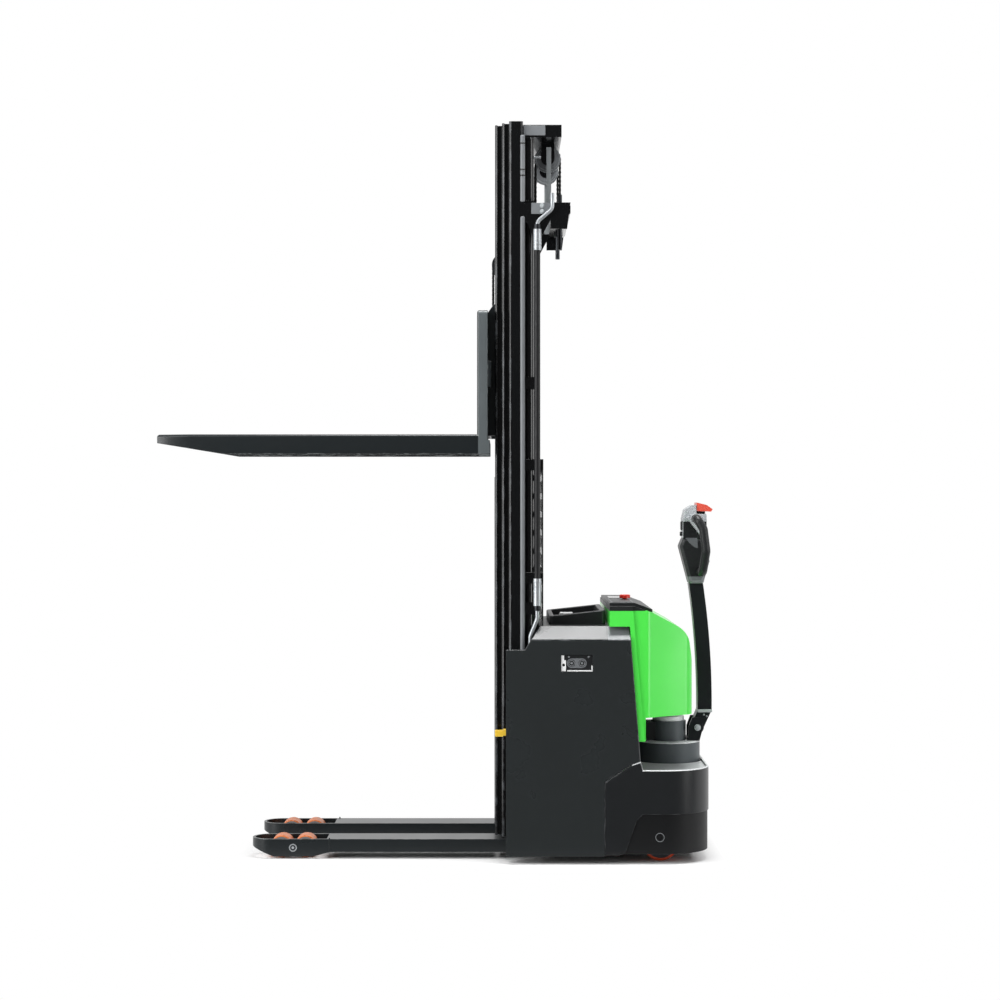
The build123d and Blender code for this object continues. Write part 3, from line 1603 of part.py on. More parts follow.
# Height sensor on a bracket in front of the left rail
sensor_rear_x = sensor_front_x + sensor_length
sensor = block(
    sensor_front_x, sensor_rear_x, -mast_outer_half_width, -mast_outer_half_width + sensor_width,
    sensor_z - sensor_height / 2, sensor_z + sensor_height / 2,
)
sensor += block(
    sensor_rear_x, outer_front_x, -mast_outer_half_width, -mast_outer_half_width + sensor_bracket_width,
    sensor_z - sensor_bracket_bottom, sensor_z + sensor_bracket_top,
)
save("height_sensor", sensor)

os.makedirs("parts", exist_ok=True)
for name, shape in bodies.items():
    export_step(shape, f"parts/{name}.step")
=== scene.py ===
# Electric pallet stacker with a three-stage mast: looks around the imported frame, in metres
import json
import math

import bmesh
import bpy
from mathutils import Matrix, Vector

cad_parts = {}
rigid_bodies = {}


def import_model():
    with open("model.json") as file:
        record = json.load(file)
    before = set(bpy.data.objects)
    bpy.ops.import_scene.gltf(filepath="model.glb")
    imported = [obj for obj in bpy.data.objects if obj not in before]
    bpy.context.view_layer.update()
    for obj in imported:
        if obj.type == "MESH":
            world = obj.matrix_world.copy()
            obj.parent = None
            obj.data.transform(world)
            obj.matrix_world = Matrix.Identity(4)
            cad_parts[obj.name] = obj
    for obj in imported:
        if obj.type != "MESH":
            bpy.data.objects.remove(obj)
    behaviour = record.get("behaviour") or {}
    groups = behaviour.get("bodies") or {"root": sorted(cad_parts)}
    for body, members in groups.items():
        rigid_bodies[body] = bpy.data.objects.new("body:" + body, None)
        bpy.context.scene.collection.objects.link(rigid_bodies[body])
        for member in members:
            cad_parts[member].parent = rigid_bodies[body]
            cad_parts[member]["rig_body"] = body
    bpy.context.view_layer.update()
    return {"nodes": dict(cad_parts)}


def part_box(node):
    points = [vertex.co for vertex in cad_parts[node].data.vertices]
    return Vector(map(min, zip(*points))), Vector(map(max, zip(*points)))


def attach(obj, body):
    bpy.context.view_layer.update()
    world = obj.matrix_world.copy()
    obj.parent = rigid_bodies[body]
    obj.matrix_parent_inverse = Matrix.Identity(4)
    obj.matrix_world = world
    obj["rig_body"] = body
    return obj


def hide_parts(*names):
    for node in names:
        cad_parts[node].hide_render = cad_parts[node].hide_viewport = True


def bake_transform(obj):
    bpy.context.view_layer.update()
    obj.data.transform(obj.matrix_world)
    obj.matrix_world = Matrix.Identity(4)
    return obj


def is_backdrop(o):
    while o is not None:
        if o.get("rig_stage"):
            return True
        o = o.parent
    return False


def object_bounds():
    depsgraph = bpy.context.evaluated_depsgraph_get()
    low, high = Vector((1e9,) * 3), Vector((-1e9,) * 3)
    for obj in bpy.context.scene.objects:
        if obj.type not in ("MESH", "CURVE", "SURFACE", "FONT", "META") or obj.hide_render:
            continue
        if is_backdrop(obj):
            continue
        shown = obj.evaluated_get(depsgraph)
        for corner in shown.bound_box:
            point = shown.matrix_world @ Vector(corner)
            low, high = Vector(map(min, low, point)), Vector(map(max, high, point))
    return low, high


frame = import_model()
nodes = frame["nodes"]
print("frame loaded:", len(nodes), "nodes")

mm = 0.001
bothSides = ((-1, "Left"), (1, "Right"))


def linear(hexCode):
    channels = [int(hexCode[i:i + 2], 16) / 255 for i in (1, 3, 5)]
    return [c / 12.92 if c <= 0.04045 else ((c + 0.055) / 1.055) ** 2.4 for c in channels] + [1.0]


# One shader node with its settings, its values and the links that come into it
def addNode(tree, kind, inputs=None, **settings):
    node = tree.nodes.new("ShaderNode" + kind)
    for name, value in settings.items():
        setattr(node, name, value)
    for socket, value in (inputs or {}).items():
        if isinstance(value, bpy.types.NodeSocket):
            tree.links.new(value, node.inputs[socket])
        else:
            node.inputs[socket].default_value = value
    return node


# A clear top layer, where a look asks for one
clearCoat = {"roughness": 0.08}


def newMaterial(name, look):
    material = bpy.data.materials.new(name)
    material.use_nodes = True
    shader = material.node_tree.nodes["Principled BSDF"]
    shader.inputs["Roughness"].default_value = look["roughness"]
    shader.inputs["Metallic"].default_value = look.get("metallic", 0.0)
    if "specular" in look:
        shader.inputs["Specular IOR Level"].default_value = look["specular"]
    if "coat" in look:
        shader.inputs["Coat Weight"].default_value = look["coat"]
        shader.inputs["Coat Roughness"].default_value = clearCoat["roughness"]
    return material, material.node_tree, shader


# Scale of a pattern whose features are this many millimetres apart
def perMm(size):
    return 1.0 / (size * mm)


# What all surfaces share: layers of colour, a sheen that follows a pattern, and a fine relief
def finishSurface(tree, shader, look, layers, pattern, between, sheen, height, strength, depthMm):
    colour = linear(look["colour"])
    for share, over in layers:
        mixed = addNode(tree, "Mix", {"Factor": share, 6: colour, 7: linear(look[over])}, data_type="RGBA")
        colour = mixed.outputs[2]
    gloss = addNode(
        tree, "MapRange",
        {
            "Value": pattern, "From Min": between[0], "From Max": between[1],
            "To Min": look["roughness"] + sheen[0], "To Max": look["roughness"] + sheen[1],
        },
    )
    bump = addNode(tree, "Bump", {"Height": height, "Strength": strength, "Distance": depthMm * mm})
    tree.links.new(colour, shader.inputs["Base Color"])
    tree.links.new(gloss.outputs["Result"], shader.inputs["Roughness"])
    tree.links.new(bump.outputs["Normal"], shader.inputs["Normal"])


# Paint on steel: cloudy sheen, a fine skin, dust on what faces up, and rubbed edges.
# Real orange peel is about 2 mm across; it is drawn at 5 mm and more so that it shows at this distance
def coatedSteel(name, **look):
    material, tree, shader = newMaterial(name, look)
    place = addNode(tree, "TexCoord").outputs["Object"]
    noises = []
    for size, detail in (("cloudMm", 4.0), ("skinMm", 2.0), ("scuffMm", 6.0)):
        noise = addNode(tree, "TexNoise", {"Vector": place, "Scale": perMm(look[size]), "Detail": detail})
        noises.append(noise.outputs["Fac"])
    cloud, skin, scuff = noises
    edge = addNode(tree, "Attribute", attribute_name="rub").outputs["Fac"]
    rubbed = addNode(
        tree, "MapRange", {"Value": scuff, "From Min": 0.47, "From Max": 0.66, "To Max": look["wear"]},
    )
    worn = addNode(tree, "Math", {0: edge, 1: rubbed.outputs["Result"]}, operation="MULTIPLY")
    facing = addNode(tree, "SeparateXYZ", {"Vector": addNode(tree, "NewGeometry").outputs["Normal"]})
    upward = addNode(
        tree, "MapRange",
        {"Value": facing.outputs["Z"], "From Min": 0.6, "From Max": 1.0, "To Max": look["dust"]},
    )
    settled = addNode(tree, "Math", {0: upward.outputs["Result"], 1: cloud}, operation="MULTIPLY")
    finishSurface(
        tree, shader, look,
        [(cloud, "deep"), (settled.outputs["Value"], "dustColour"), (worn.outputs["Value"], "bare")],
        pattern=cloud, between=(0.1, 0.9), sheen=(-0.05, 0.05),
        height=skin, strength=look["skin"], depthMm=0.4,
    )
    return material


# Moulded plastic: spark-eroded grain from the tool, faint flow clouds, paler rubbed edges.
# Real grain is under 1 mm; it is drawn at 3 mm and more to show
def mouldedPlastic(name, **look):
    material, tree, shader = newMaterial(name, look)
    place = addNode(tree, "TexCoord").outputs["Object"]
    flow = addNode(tree, "TexNoise", {"Vector": place, "Scale": perMm(look["flowMm"]), "Detail": 3.0})
    grain = addNode(tree, "TexVoronoi", {"Vector": place, "Scale": perMm(look["grainMm"])})
    edge = addNode(tree, "Attribute", attribute_name="rub").outputs["Fac"]
    rim = addNode(tree, "MapRange", {"Value": edge, "To Max": look["wear"]})
    finishSurface(
        tree, shader, look, [(flow.outputs["Fac"], "deep"), (rim.outputs["Result"], "bare")],
        pattern=flow.outputs["Fac"], between=(0.3, 0.7), sheen=(-0.04, 0.05),
        height=grain.outputs["Distance"], strength=look["grain"], depthMm=0.3,
    )
    return material


# Bare or plated metal: drawn lines along Z, cloudy plating, dark grime where it gathers.
# Real lines are a fraction of a millimetre apart; they are drawn at 3 mm and more to show
def workedMetal(name, **look):
    material, tree, shader = newMaterial(name, look)
    place = addNode(tree, "TexCoord").outputs["Object"]
    drawn = addNode(tree, "Mapping", {"Vector": place, "Scale": (1.0, 1.0, look["stretch"])})
    lines = addNode(
        tree, "TexNoise",
        {"Vector": drawn.outputs["Vector"], "Scale": perMm(look["lineMm"]), "Detail": 3.0},
    )
    cloud = addNode(tree, "TexNoise", {"Vector": place, "Scale": perMm(look["cloudMm"]), "Detail": 5.0})
    grime = addNode(
        tree, "MapRange",
        {"Value": cloud.outputs["Fac"], "From Min": 0.42, "From Max": 0.7, "To Max": look["grime"]},
    )
    finishSurface(
        tree, shader, look, [(lines.outputs["Fac"], "deep"), (grime.outputs["Result"], "soil")],
        pattern=lines.outputs["Fac"], between=(0.3, 0.7), sheen=(-0.06, 0.1),
        height=lines.outputs["Fac"], strength=look["line"], depthMm=0.1,
    )
    return material


# Cast elastomer: waxy mottling, small pits and a dusty skin.
# Real pits are under 1 mm; they are drawn at 4 mm and more to show
def castElastomer(name, **look):
    material, tree, shader = newMaterial(name, look)
    place = addNode(tree, "TexCoord").outputs["Object"]
    mottle = addNode(tree, "TexNoise", {"Vector": place, "Scale": perMm(look["mottleMm"]), "Detail": 5.0})
    pits = addNode(tree, "TexVoronoi", {"Vector": place, "Scale": perMm(look["pitMm"])})
    finishSurface(
        tree, shader, look, [(mottle.outputs["Fac"], "deep")],
        pattern=mottle.outputs["Fac"], between=(0.3, 0.7), sheen=(-0.08, 0.08),
        height=pits.outputs["Distance"], strength=look["pit"], depthMm=0.3,
    )
    return material


# Powder-coated steel, sprayed and baked: a faint orange peel and a satin sheen
forkPaint = coatedSteel(
    "powderCoatForkGrey", colour="#1C2123", deep="#171B1D", bare="#8A8F8E", dustColour="#6E7676",
    roughness=0.3, specular=0.4, wear=0.55, dust=0.12, cloudMm=160, skinMm=7, skin=0.1, scuffMm=30,
)
# The same coat, paler, put on the sides of the fork shanks as a painted highlight
shankHighlightPaint = coatedSteel(
    "powderCoatShankPaintedHighlight", colour="#5E6466", deep="#4E5456", bare="#9A9F9E", dustColour="#7A8080",
    roughness=0.34, specular=0.45, wear=0.5, dust=0.1, cloudMm=120, skinMm=9, skin=0.05, scuffMm=30,
)
# Gloss enamel over rolled mast channel: long clean highlights, oil-dark clouds
mastPaint = coatedSteel(
    "glossEnamelMastBlack", colour="#0D0E10", deep="#090A0B", bare="#5C6064", dustColour="#3A3D40",
    roughness=0.22, specular=0.32, coat=0.4, wear=0.35, dust=0.08, cloudMm=220, skinMm=20, skin=0.01,
    scuffMm=45,
)
# Textured powder coat on pressed steel covers: matt charcoal with a fine wrinkle
panelPaint = coatedSteel(
    "texturedPowderCoatCharcoal", colour="#262A2B", deep="#212425", bare="#77797C", dustColour="#5A5C5F",
    roughness=0.28, specular=0.45, wear=0.3, dust=0.1, cloudMm=240, skinMm=9, skin=0.05, scuffMm=40,
)
# Satin paint on the heavy cast base: a darker charcoal, about as smooth
skirtPaint = coatedSteel(
    "satinPaintBaseCharcoal", colour="#1E2022", deep="#191B1D", bare="#7A7C7E", dustColour="#55585B",
    roughness=0.3, specular=0.45, wear=0.35, dust=0.14, cloudMm=200, skinMm=9, skin=0.05, scuffMm=36,
)
# The same paint, darker as painted shade inside the wheel arches, and dull
archPaintedShade = coatedSteel(
    "satinPaintArchPaintedShade", colour="#131416", deep="#0F1011", bare="#4A4C4E", dustColour="#3A3B3C",
    roughness=0.5, specular=0.3, wear=0.2, dust=0.2, cloudMm=60, skinMm=8, skin=0.1, scuffMm=36,
)
# Painted pressed-steel tiller arm: semi-gloss black with a cool cast
tillerPaint = coatedSteel(
    "semiGlossTillerBlack", colour="#1D2124", deep="#171A1D", bare="#8E9496", dustColour="#565B5D",
    roughness=0.34, specular=0.4, wear=0.4, dust=0.08, cloudMm=120, skinMm=6, skin=0.08, scuffMm=24,
)
# Satin light grey on straps, bolts and the tiller's band, flat like primer
fittingPaint = coatedSteel(
    "satinPaintLightGrey", colour="#B4B9BB", deep="#9EA4A6", bare="#D8DBDC", dustColour="#8C9092",
    roughness=0.4, specular=0.45, wear=0.4, dust=0.1, cloudMm=90, skinMm=6, skin=0.08, scuffMm=20,
)
# Pale enamel on the drive head's brake cap: smooth and even. The same pale grey is painted highlight on the
# collar top, the skirt's rim and the dust plate
paleEnamelAndHighlight = coatedSteel(
    "paleEnamelAndPaintedHighlight", colour="#E2E5E6", deep="#D4D8D9", bare="#F0F1F1", dustColour="#B4B8B9",
    roughness=0.34, specular=0.5, wear=0.2, dust=0.06, cloudMm=90, skinMm=6, skin=0.05, scuffMm=20,
)
# Mid-grey enamel of the crosshead's end plates and the sheaves: satin. The same grey is painted highlight on
# the tubes on the outer rails and painted light on the panel chamfer under the hood
midGreyEnamelAndLight = coatedSteel(
    "midGreyEnamelAndPaintedLight", colour="#7C7F82", deep="#6A6D70", bare="#B0B3B5", dustColour="#707376", roughness=0.36,
    specular=0.42, wear=0.4, dust=0.1, cloudMm=60, skinMm=6, skin=0.08, scuffMm=18,
)
# Cast iron under grey machine paint: coarse sand skin
castingPaint = coatedSteel(
    "paintedSandCastIron", colour="#5A6164", deep="#4B5154", bare="#8A8C8E", dustColour="#5C6062",
    roughness=0.46, specular=0.35, wear=0.4, dust=0.16, cloudMm=70, skinMm=5, skin=0.35, scuffMm=18,
)
# Gloss ABS hood, vacuum-formed and colour-matched: smooth, saturated, soft clear skin
hoodPlastic = mouldedPlastic(
    "glossAbsHoodGreen", colour="#4CDE4A", deep="#41D441", bare="#8CF08A", roughness=0.34, specular=0.45,
    coat=0.4, wear=0.35, flowMm=180, grainMm=6, grain=0.03,
)
# Injection-moulded ABS: dull black with a grain that scatters the light
blackPlastic = mouldedPlastic(
    "grainedAbsBlack", colour="#232527", deep="#1B1D1E", bare="#56585A", roughness=0.42, specular=0.4,
    wear=0.3, flowMm=60, grainMm=4, grain=0.22,
)
# The same in mid grey, for trims and bezels
greyPlastic = mouldedPlastic(
    "grainedAbsMidGrey", colour="#6A6D70", deep="#5A5D60", bare="#9A9DA0", roughness=0.42, specular=0.42,
    wear=0.25, flowMm=30, grainMm=3, grain=0.12,
)
# Silver-painted ABS control cover: fine metal flake, satin
consolePlastic = mouldedPlastic(
    "silverPaintedAbs", colour="#B9BDC0", deep="#A4A9AC", bare="#DADDDF", roughness=0.34, specular=0.55,
    wear=0.35, flowMm=40, grainMm=3, grain=0.06,
)
# Gloss red acetal of the stop mushroom: tight, clean highlights
redPlastic = mouldedPlastic(
    "glossAcetalRed", colour="#E2321F", deep="#CF2717", bare="#F0705F", roughness=0.3, specular=0.5,
    wear=0.3, flowMm=30, grainMm=3, grain=0.05,
)
# Coral acetal of the safety plunger: the same gloss, its edges rubbed pale
bellyPlastic = mouldedPlastic(
    "satinAcetalCoral", colour="#E4604E", deep="#D8503F", bare="#F2A090", roughness=0.3, specular=0.5,
    wear=0.45, flowMm=30, grainMm=3, grain=0.05,
)
# Dyed polyamide sensor housing: an even, slightly chalky yellow
yellowPlastic = mouldedPlastic(
    "polyamideSensorYellow", colour="#F2C93A", deep="#E6BA2A", bare="#F8E08A", roughness=0.42,
    specular=0.45, wear=0.25, flowMm=20, grainMm=3, grain=0.12,
)
# Moulded polycarbonate: clean satin white
whitePlastic = mouldedPlastic(
    "polycarbonateWhite", colour="#E9EAEA", deep="#DADBDB", bare="#F6F6F6", roughness=0.4, specular=0.45,
    wear=0.2, flowMm=20, grainMm=3, grain=0.08,
)
# Moulded acetal of the pull tab: a flat signal orange
orangePlastic = mouldedPlastic(
    "acetalOrange", colour="#E8782A", deep="#D96A20", bare="#F3A56B", roughness=0.38, specular=0.45,
    wear=0.2, flowMm=20, grainMm=3, grain=0.08,
)
# Cast nylon slide pads, machined to size: creamy and dull
padPlastic = mouldedPlastic(
    "castNylonNatural", colour="#DDD8C8", deep="#CFC9B6", bare="#EFEBDD", roughness=0.5, specular=0.4,
    wear=0.2, flowMm=40, grainMm=5, grain=0.1,
)
# Smoked acrylic over a dark display: almost mirror smooth
lensPlastic = mouldedPlastic(
    "smokedAcrylic", colour="#0E1012", deep="#0A0B0D", bare="#2A2C2E", roughness=0.1, specular=0.5,
    wear=0.1, flowMm=50, grainMm=6, grain=0.01,
)
# Cast polyurethane tyres: waxy amber on the load rollers, brick red on the castors and drive wheel
rollerTread = castElastomer(
    "castPolyurethaneAmber", colour="#D9793C", deep="#B9602C", roughness=0.4, specular=0.45, mottleMm=22,
    pitMm=5, pit=0.12,
)
casterTread = castElastomer(
    "castPolyurethaneBrickRed", colour="#CF4E26", deep="#A83A1C", roughness=0.42, specular=0.45,
    mottleMm=26, pitMm=5, pit=0.12,
)
# Extruded nitrile rubber: near black, soft sheen, faintly pitted
hoseRubber = castElastomer(
    "hydraulicHoseRubber", colour="#17181A", deep="#101113", roughness=0.5, specular=0.4, mottleMm=30,
    pitMm=4, pit=0.15,
)
# Zinc-plated steel of pipes, rods, bolts: cool grey, blotchy, drawn lines along its length
zincSteel = workedMetal(
    "zincPlatedSteel", colour="#C8CCCF", deep="#B0B5B9", soil="#7E8284", metallic=0.75, roughness=0.4,
    grime=0.35, lineMm=3, stretch=0.15, cloudMm=24, line=0.08,
)
# Black-oxide bolts and pins: dark, slightly oily grey
oxideSteel = workedMetal(
    "blackOxideSteel", colour="#4A4C4F", deep="#35373A", soil="#26282A", metallic=1.0, roughness=0.42,
    grime=0.4, lineMm=3, stretch=0.5, cloudMm=16, line=0.08,
)
# Leaf chain in lubricating oil: dark, patchy wet shine
chainSteel = workedMetal(
    "oiledChainSteel", colour="#5A5B5C", deep="#3F4041", soil="#2A2620", metallic=1.0, roughness=0.36,
    grime=0.7, lineMm=4, stretch=1.0, cloudMm=14, line=0.12,
)
# Hard-chromed lift rods, ground and polished: bright, with long clean reflections
rodChrome = workedMetal(
    "groundHardChrome", colour="#DADDE0", deep="#C6CACE", soil="#8E9294", metallic=1.0, roughness=0.14,
    grime=0.2, lineMm=6, stretch=0.05, cloudMm=60, line=0.03,
)
print("materials:", len(bpy.data.materials))


# A node of one word gets a second one, so that the piece's name differs from the node's
def pieceName(node):
    words = node.split("_")
    return words[0] + ("".join(w.capitalize() for w in words[1:]) or "Piece")


def linked(name, data, *materials):
    piece = bpy.data.objects.new(name, data)
    bpy.context.scene.collection.objects.link(piece)
    for material in materials:
        data.materials.append(material)
    return piece


def newPiece(name, mesh, materials, body):
    piece = linked(name, mesh, *materials)
    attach(piece, body)
    return piece


# How far an edge has to turn, in degrees, to be drawn sharp, broken or rolled, and below what it is flat
edgeTurn = {"sharp": 50, "broken": 28, "rolled": 12, "flat": 0.6}
cleaning = {"weldMm": 0.01, "rollSegments": 5}


def closeMesh(work, name):
    for face in work.faces:
        face.smooth = True
    for edge in work.edges:
        edge.smooth = edge.calc_face_angle(0.0) < math.radians(edgeTurn["sharp"])
    mesh = bpy.data.meshes.new(name)
    work.to_mesh(mesh)
    work.free()
    return mesh


# Breaks the edges that the test picks; the new faces carry the mark that shows rubbed paint
def breakEdges(work, test, breakMm, segments):
    mark = work.faces.layers.float.get("rub") or work.faces.layers.float.new("rub")
    picked = [e for e in work.edges if len(e.link_faces) == 2 and test(e)]
    made = bmesh.ops.bevel(
        work, geom=picked, offset=breakMm * mm, offset_type="OFFSET", segments=segments, profile=0.5,
        affect="EDGES", clamp_overlap=True,
    )
    for face in made["faces"]:
        face[mark] = 1.0


def turns(edge, degrees):
    return edge.calc_face_angle(0.0) > math.radians(degrees)


def middle(edge):
    return (edge.verts[0].co + edge.verts[1].co) / 2 / mm


def settle(piece):
    weighted = piece.modifiers.new("facesFlat", "WEIGHTED_NORMAL")
    weighted.keep_sharp = True
    return piece


# A carried-over solid with its edges broken as the real part's are; the frame's own mesh stays as it is.
# Rolls round the edges that a test picks; cuts only divide faces, so that a colour can end there
def softened(node, materials, breakMm, segments=2, rolls=(), cuts=()):
    source = nodes[node]
    work = bmesh.new()
    work.from_mesh(source.data)
    bmesh.ops.remove_doubles(work, verts=work.verts, dist=cleaning["weldMm"] * mm)
    bmesh.ops.dissolve_limit(
        work, angle_limit=math.radians(edgeTurn["flat"]), verts=work.verts, edges=work.edges,
    )
    for test, rollMm in rolls:
        breakEdges(
            work, lambda e: turns(e, edgeTurn["rolled"]) and test(middle(e)), rollMm,
            cleaning["rollSegments"],
        )
    breakEdges(work, lambda e: turns(e, edgeTurn["broken"]), breakMm, segments)
    for spot, way in cuts:
        everything = work.verts[:] + work.edges[:] + work.faces[:]
        bmesh.ops.bisect_plane(work, geom=everything, plane_co=Vector(spot) * mm, plane_no=way)
    name = pieceName(node)
    piece = newPiece(name, closeMesh(work, name), materials, source["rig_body"])
    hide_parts(node)
    return settle(piece)


# Gives the faces that the test picks one of the piece's other materials; places in millimetres
def paintFaces(piece, index, test):
    for face in piece.data.polygons:
        if test(face.center / mm, face.normal):
            face.material_index = index


# Carried over as they are: finish, slot, the width of the broken edges, and the nodes
finishes = (
    (forkPaint, "fork_paint", 1.5, ("support_leg_left", "support_leg_right", "lift_carriage")),
    (mastPaint, "mast_paint", 1.0, ("lift_cylinders", "free_lift_cylinder", "rear_guard")),
    (rodChrome, "rod_chrome", 0.8, ("lift_rods", "free_lift_ram")),
    (oxideSteel, "plated_steel", 0.8, ("free_lift_sheaves",)),
    (oxideSteel, "plated_steel", 0.6, ("chain_anchor_rods",)),
    (zincSteel, "plated_steel", 0.8, ("hose_fittings",)),
    (zincSteel, "plated_steel", 1.0, ("caster_fork_left", "caster_fork_right")),
    (padPlastic, "slide_pad", 0.8, ("middle_slide_pads", "inner_slide_pads", "carriage_slide_pads")),
    (skirtPaint, "skirt_paint", 1.0, ("chassis_frame",)),
    (castingPaint, "drive_casting", 1.5, ("pump_unit",)),
    (castingPaint, "drive_casting", 2.0, ("gearbox",)),
    (blackPlastic, "black_plastic", 1.0, ("charge_socket", "handle_loops", "horn_button")),
    (blackPlastic, "black_plastic", 1.5, ("top_deck", "lift_rocker")),
    (blackPlastic, "black_plastic", 2.0, ("motor_controller",)),
    (blackPlastic, "black_plastic", 4.0, ("battery_pack",)),
    (tillerPaint, "tiller_paint", 1.5, ("tiller_bracket",)),
    (consolePlastic, "console_silver", 3.0, ("throttle",)),
    (yellowPlastic, "sensor_yellow", 1.5, ("height_sensor",)),
)
for material, slot, breakMm, carried in finishes:
    for node in carried:
        softened(node, [material], breakMm)
print("carried-over finishes:", len(finishes))

# Stop button: the underside of its head is hollow, so that it stays clear of the dash when pressed
stop = {
    "x": 682, "y": -80, "stemMm": 8.9, "fromMm": 924.5, "toMm": 926.5, "hollowMm": 0.6, "breakMm": 1,
}
button = softened("emergency_stop", [redPlastic], stop["breakMm"])
for vertex in button.data.vertices:
    away = math.hypot(vertex.co.x / mm - stop["x"], vertex.co.y / mm - stop["y"])
    if away > stop["stemMm"] and stop["fromMm"] < vertex.co.z / mm < stop["toMm"]:
        vertex.co.z += stop["hollowMm"] * mm

# Forks: forged, the sides of their shanks painted paler as a painted highlight
forks = {"breakMm": 2.0, "shankFromMm": 147.0, "sideways": 0.5}
for side in ("left", "right"):
    fork = softened(
        "fork_" + side, [forkPaint, shankHighlightPaint], forks["breakMm"],
        cuts=[((forks["shankFromMm"], 0, 0), (1, 0, 0))],
    )
    # Painted highlight: the shank's sides get the paler coat
    paintFaces(
        fork, 1, lambda place, normal: place.x > forks["shankFromMm"] and abs(normal.y) > forks["sideways"],
    )

# Side panels: pressed steel, rolled along the bevelled top and down the rear edge; where the hood shades the
# chamfer, it is painted mid grey as painted light
panels = {
    "breakMm": 3, "rollMm": 9, "bevelMm": 755, "bevelOutMm": 346, "rearX": 556, "sideMm": 391,
    "ledgeX": 606, "paintedLightMm": 770, "upward": 0.3,
}


def panelEdge(place):
    onBevel = place.z > panels["bevelMm"] and abs(place.y) > panels["bevelOutMm"]
    return onBevel or place.x > panels["rearX"] and abs(place.y) > panels["sideMm"]


def paintedLightOnLedge(place, normal):
    return place.x > panels["ledgeX"] and place.z > panels["paintedLightMm"] and normal.z > panels["upward"]


for side in ("left", "right"):
    panel = softened(
        "side_panel_" + side, [panelPaint, midGreyEnamelAndLight], panels["breakMm"], 3,
        [(panelEdge, panels["rollMm"])], [((panels["ledgeX"], 0, 0), (1, 0, 0))],
    )
    # Painted light: the chamfer faces in the hood's shade get the mid grey
    paintFaces(panel, 1, paintedLightOnLedge)

# Base skirt: a rolled outer rim whose top is painted pale as a painted highlight, and wheel arches pressed a
# little into the sides, painted darker as painted shade
base = {
    "breakMm": 2, "rollMm": 4.5, "rollAboveMm": 285, "rollOutMm": 168.5, "cornerX": 805, "cornerY": 222,
    "rimMm": 321.5, "upward": 0.2, "archFromMm": 162.5, "archToMm": 167, "archTopMm": 200, "upright": 0.3,
}


# How far a place on the skirt lies outside the line on which its round corners are centred
def outside(place):
    return math.hypot(max(place.x - base["cornerX"], 0), max(abs(place.y) - base["cornerY"], 0))


def inArch(place, normal):
    pressed = base["archFromMm"] < outside(place) < base["archToMm"]
    return pressed and place.z < base["archTopMm"] and abs(normal.z) < base["upright"]


skirt = softened(
    "rear_skirt", [skirtPaint, paleEnamelAndHighlight, archPaintedShade], base["breakMm"], 3,
    [(lambda place: place.z > base["rollAboveMm"] and outside(place) > base["rollOutMm"], base["rollMm"])],
)
# Painted highlight: the rim's upper faces in pale grey
paintFaces(skirt, 1, lambda place, normal: place.z > base["rimMm"] and normal.z > base["upward"])
# Painted shade: the pressed arches in the darker paint
paintFaces(skirt, 2, inArch)

# The hood is green below its brow and black round the dash
shell = {
    "breakMm": 1.5, "rollMm": 14, "rollAboveMm": 560, "rollFromX": 690, "sideMm": 290, "rearX": 876,
    "browMm": 893, "browRearX": 740,
}


def hoodEdge(place):
    onRear = place.z > shell["rollAboveMm"] and place.x > shell["rollFromX"]
    return onRear and (abs(place.y) > shell["sideMm"] or place.x > shell["rearX"])


hood = softened(
    "rear_hood", [hoodPlastic, blackPlastic], shell["breakMm"], 2,
    [(hoodEdge, shell["rollMm"])],
    [((0, 0, shell["browMm"]), (0, 0, 1)), ((shell["browRearX"], 0, 0), (1, 0, 0))],
)
paintFaces(hood, 1, lambda place, normal: place.z > shell["browMm"] and place.x < shell["browRearX"])
print("covers")

# Drive head: painted castings with a pale brake cap, and the collar's top painted pale as a painted
# highlight
drive = {"motorBreakMm": 1.5, "brakeFromMm": 472.5, "collarBreakMm": 2, "collarTopMm": 394, "upward": 0.2}
motor = softened("drive_motor", [castingPaint, paleEnamelAndHighlight], drive["motorBreakMm"])
paintFaces(motor, 1, lambda place, normal: place.z > drive["brakeFromMm"])
collar = softened("steering_collar", [castingPaint, paleEnamelAndHighlight], drive["collarBreakMm"], 3)
# Painted highlight: the collar's top and upper chamfer in pale grey
paintFaces(collar, 1, lambda place, normal: place.z > drive["collarTopMm"] and normal.z > drive["upward"])

# Mast rails: rolled sections with round corners, and a light grey strap beside each sheave.
# Each stage by the front, the rear and the outer face of its rails
mast = {
    "breakMm": 1.5, "cornerMm": 9, "nearMm": 0.5, "strapX": (392, 411), "strapY": (180, 195),
    "strapFromMm": 2342, "sheaveBreakMm": 0.8, "sideways": 0.5,
    "outer": (257, 307, 345), "middle": (232, 282, 302), "inner": (207, 257, 259),
}


def railCorners(stage):
    frontX, rearX, outerY = mast[stage]

    def onCorner(place):
        onFace = abs(abs(place.y) - outerY) < mast["nearMm"]
        return onFace and min(abs(place.x - frontX), abs(place.x - rearX)) < mast["nearMm"]

    return [(onCorner, mast["cornerMm"])]


def onStrap(place, normal):
    inX = mast["strapX"][0] < place.x < mast["strapX"][1]
    return inX and mast["strapY"][0] < abs(place.y) < mast["strapY"][1] and place.z > mast["strapFromMm"]


for stage in ("middle", "inner"):
    softened(stage + "_mast", [mastPaint], mast["breakMm"], 2, railCorners(stage))
outerRails = softened(
    "outer_mast", [mastPaint, fittingPaint], mast["breakMm"], 2, railCorners("outer"),
)
paintFaces(outerRails, 1, onStrap)
sheaves = softened("chain_sheaves", [midGreyEnamelAndLight, zincSteel], mast["sheaveBreakMm"])
paintFaces(sheaves, 1, lambda place, normal: abs(normal.y) < mast["sideways"])

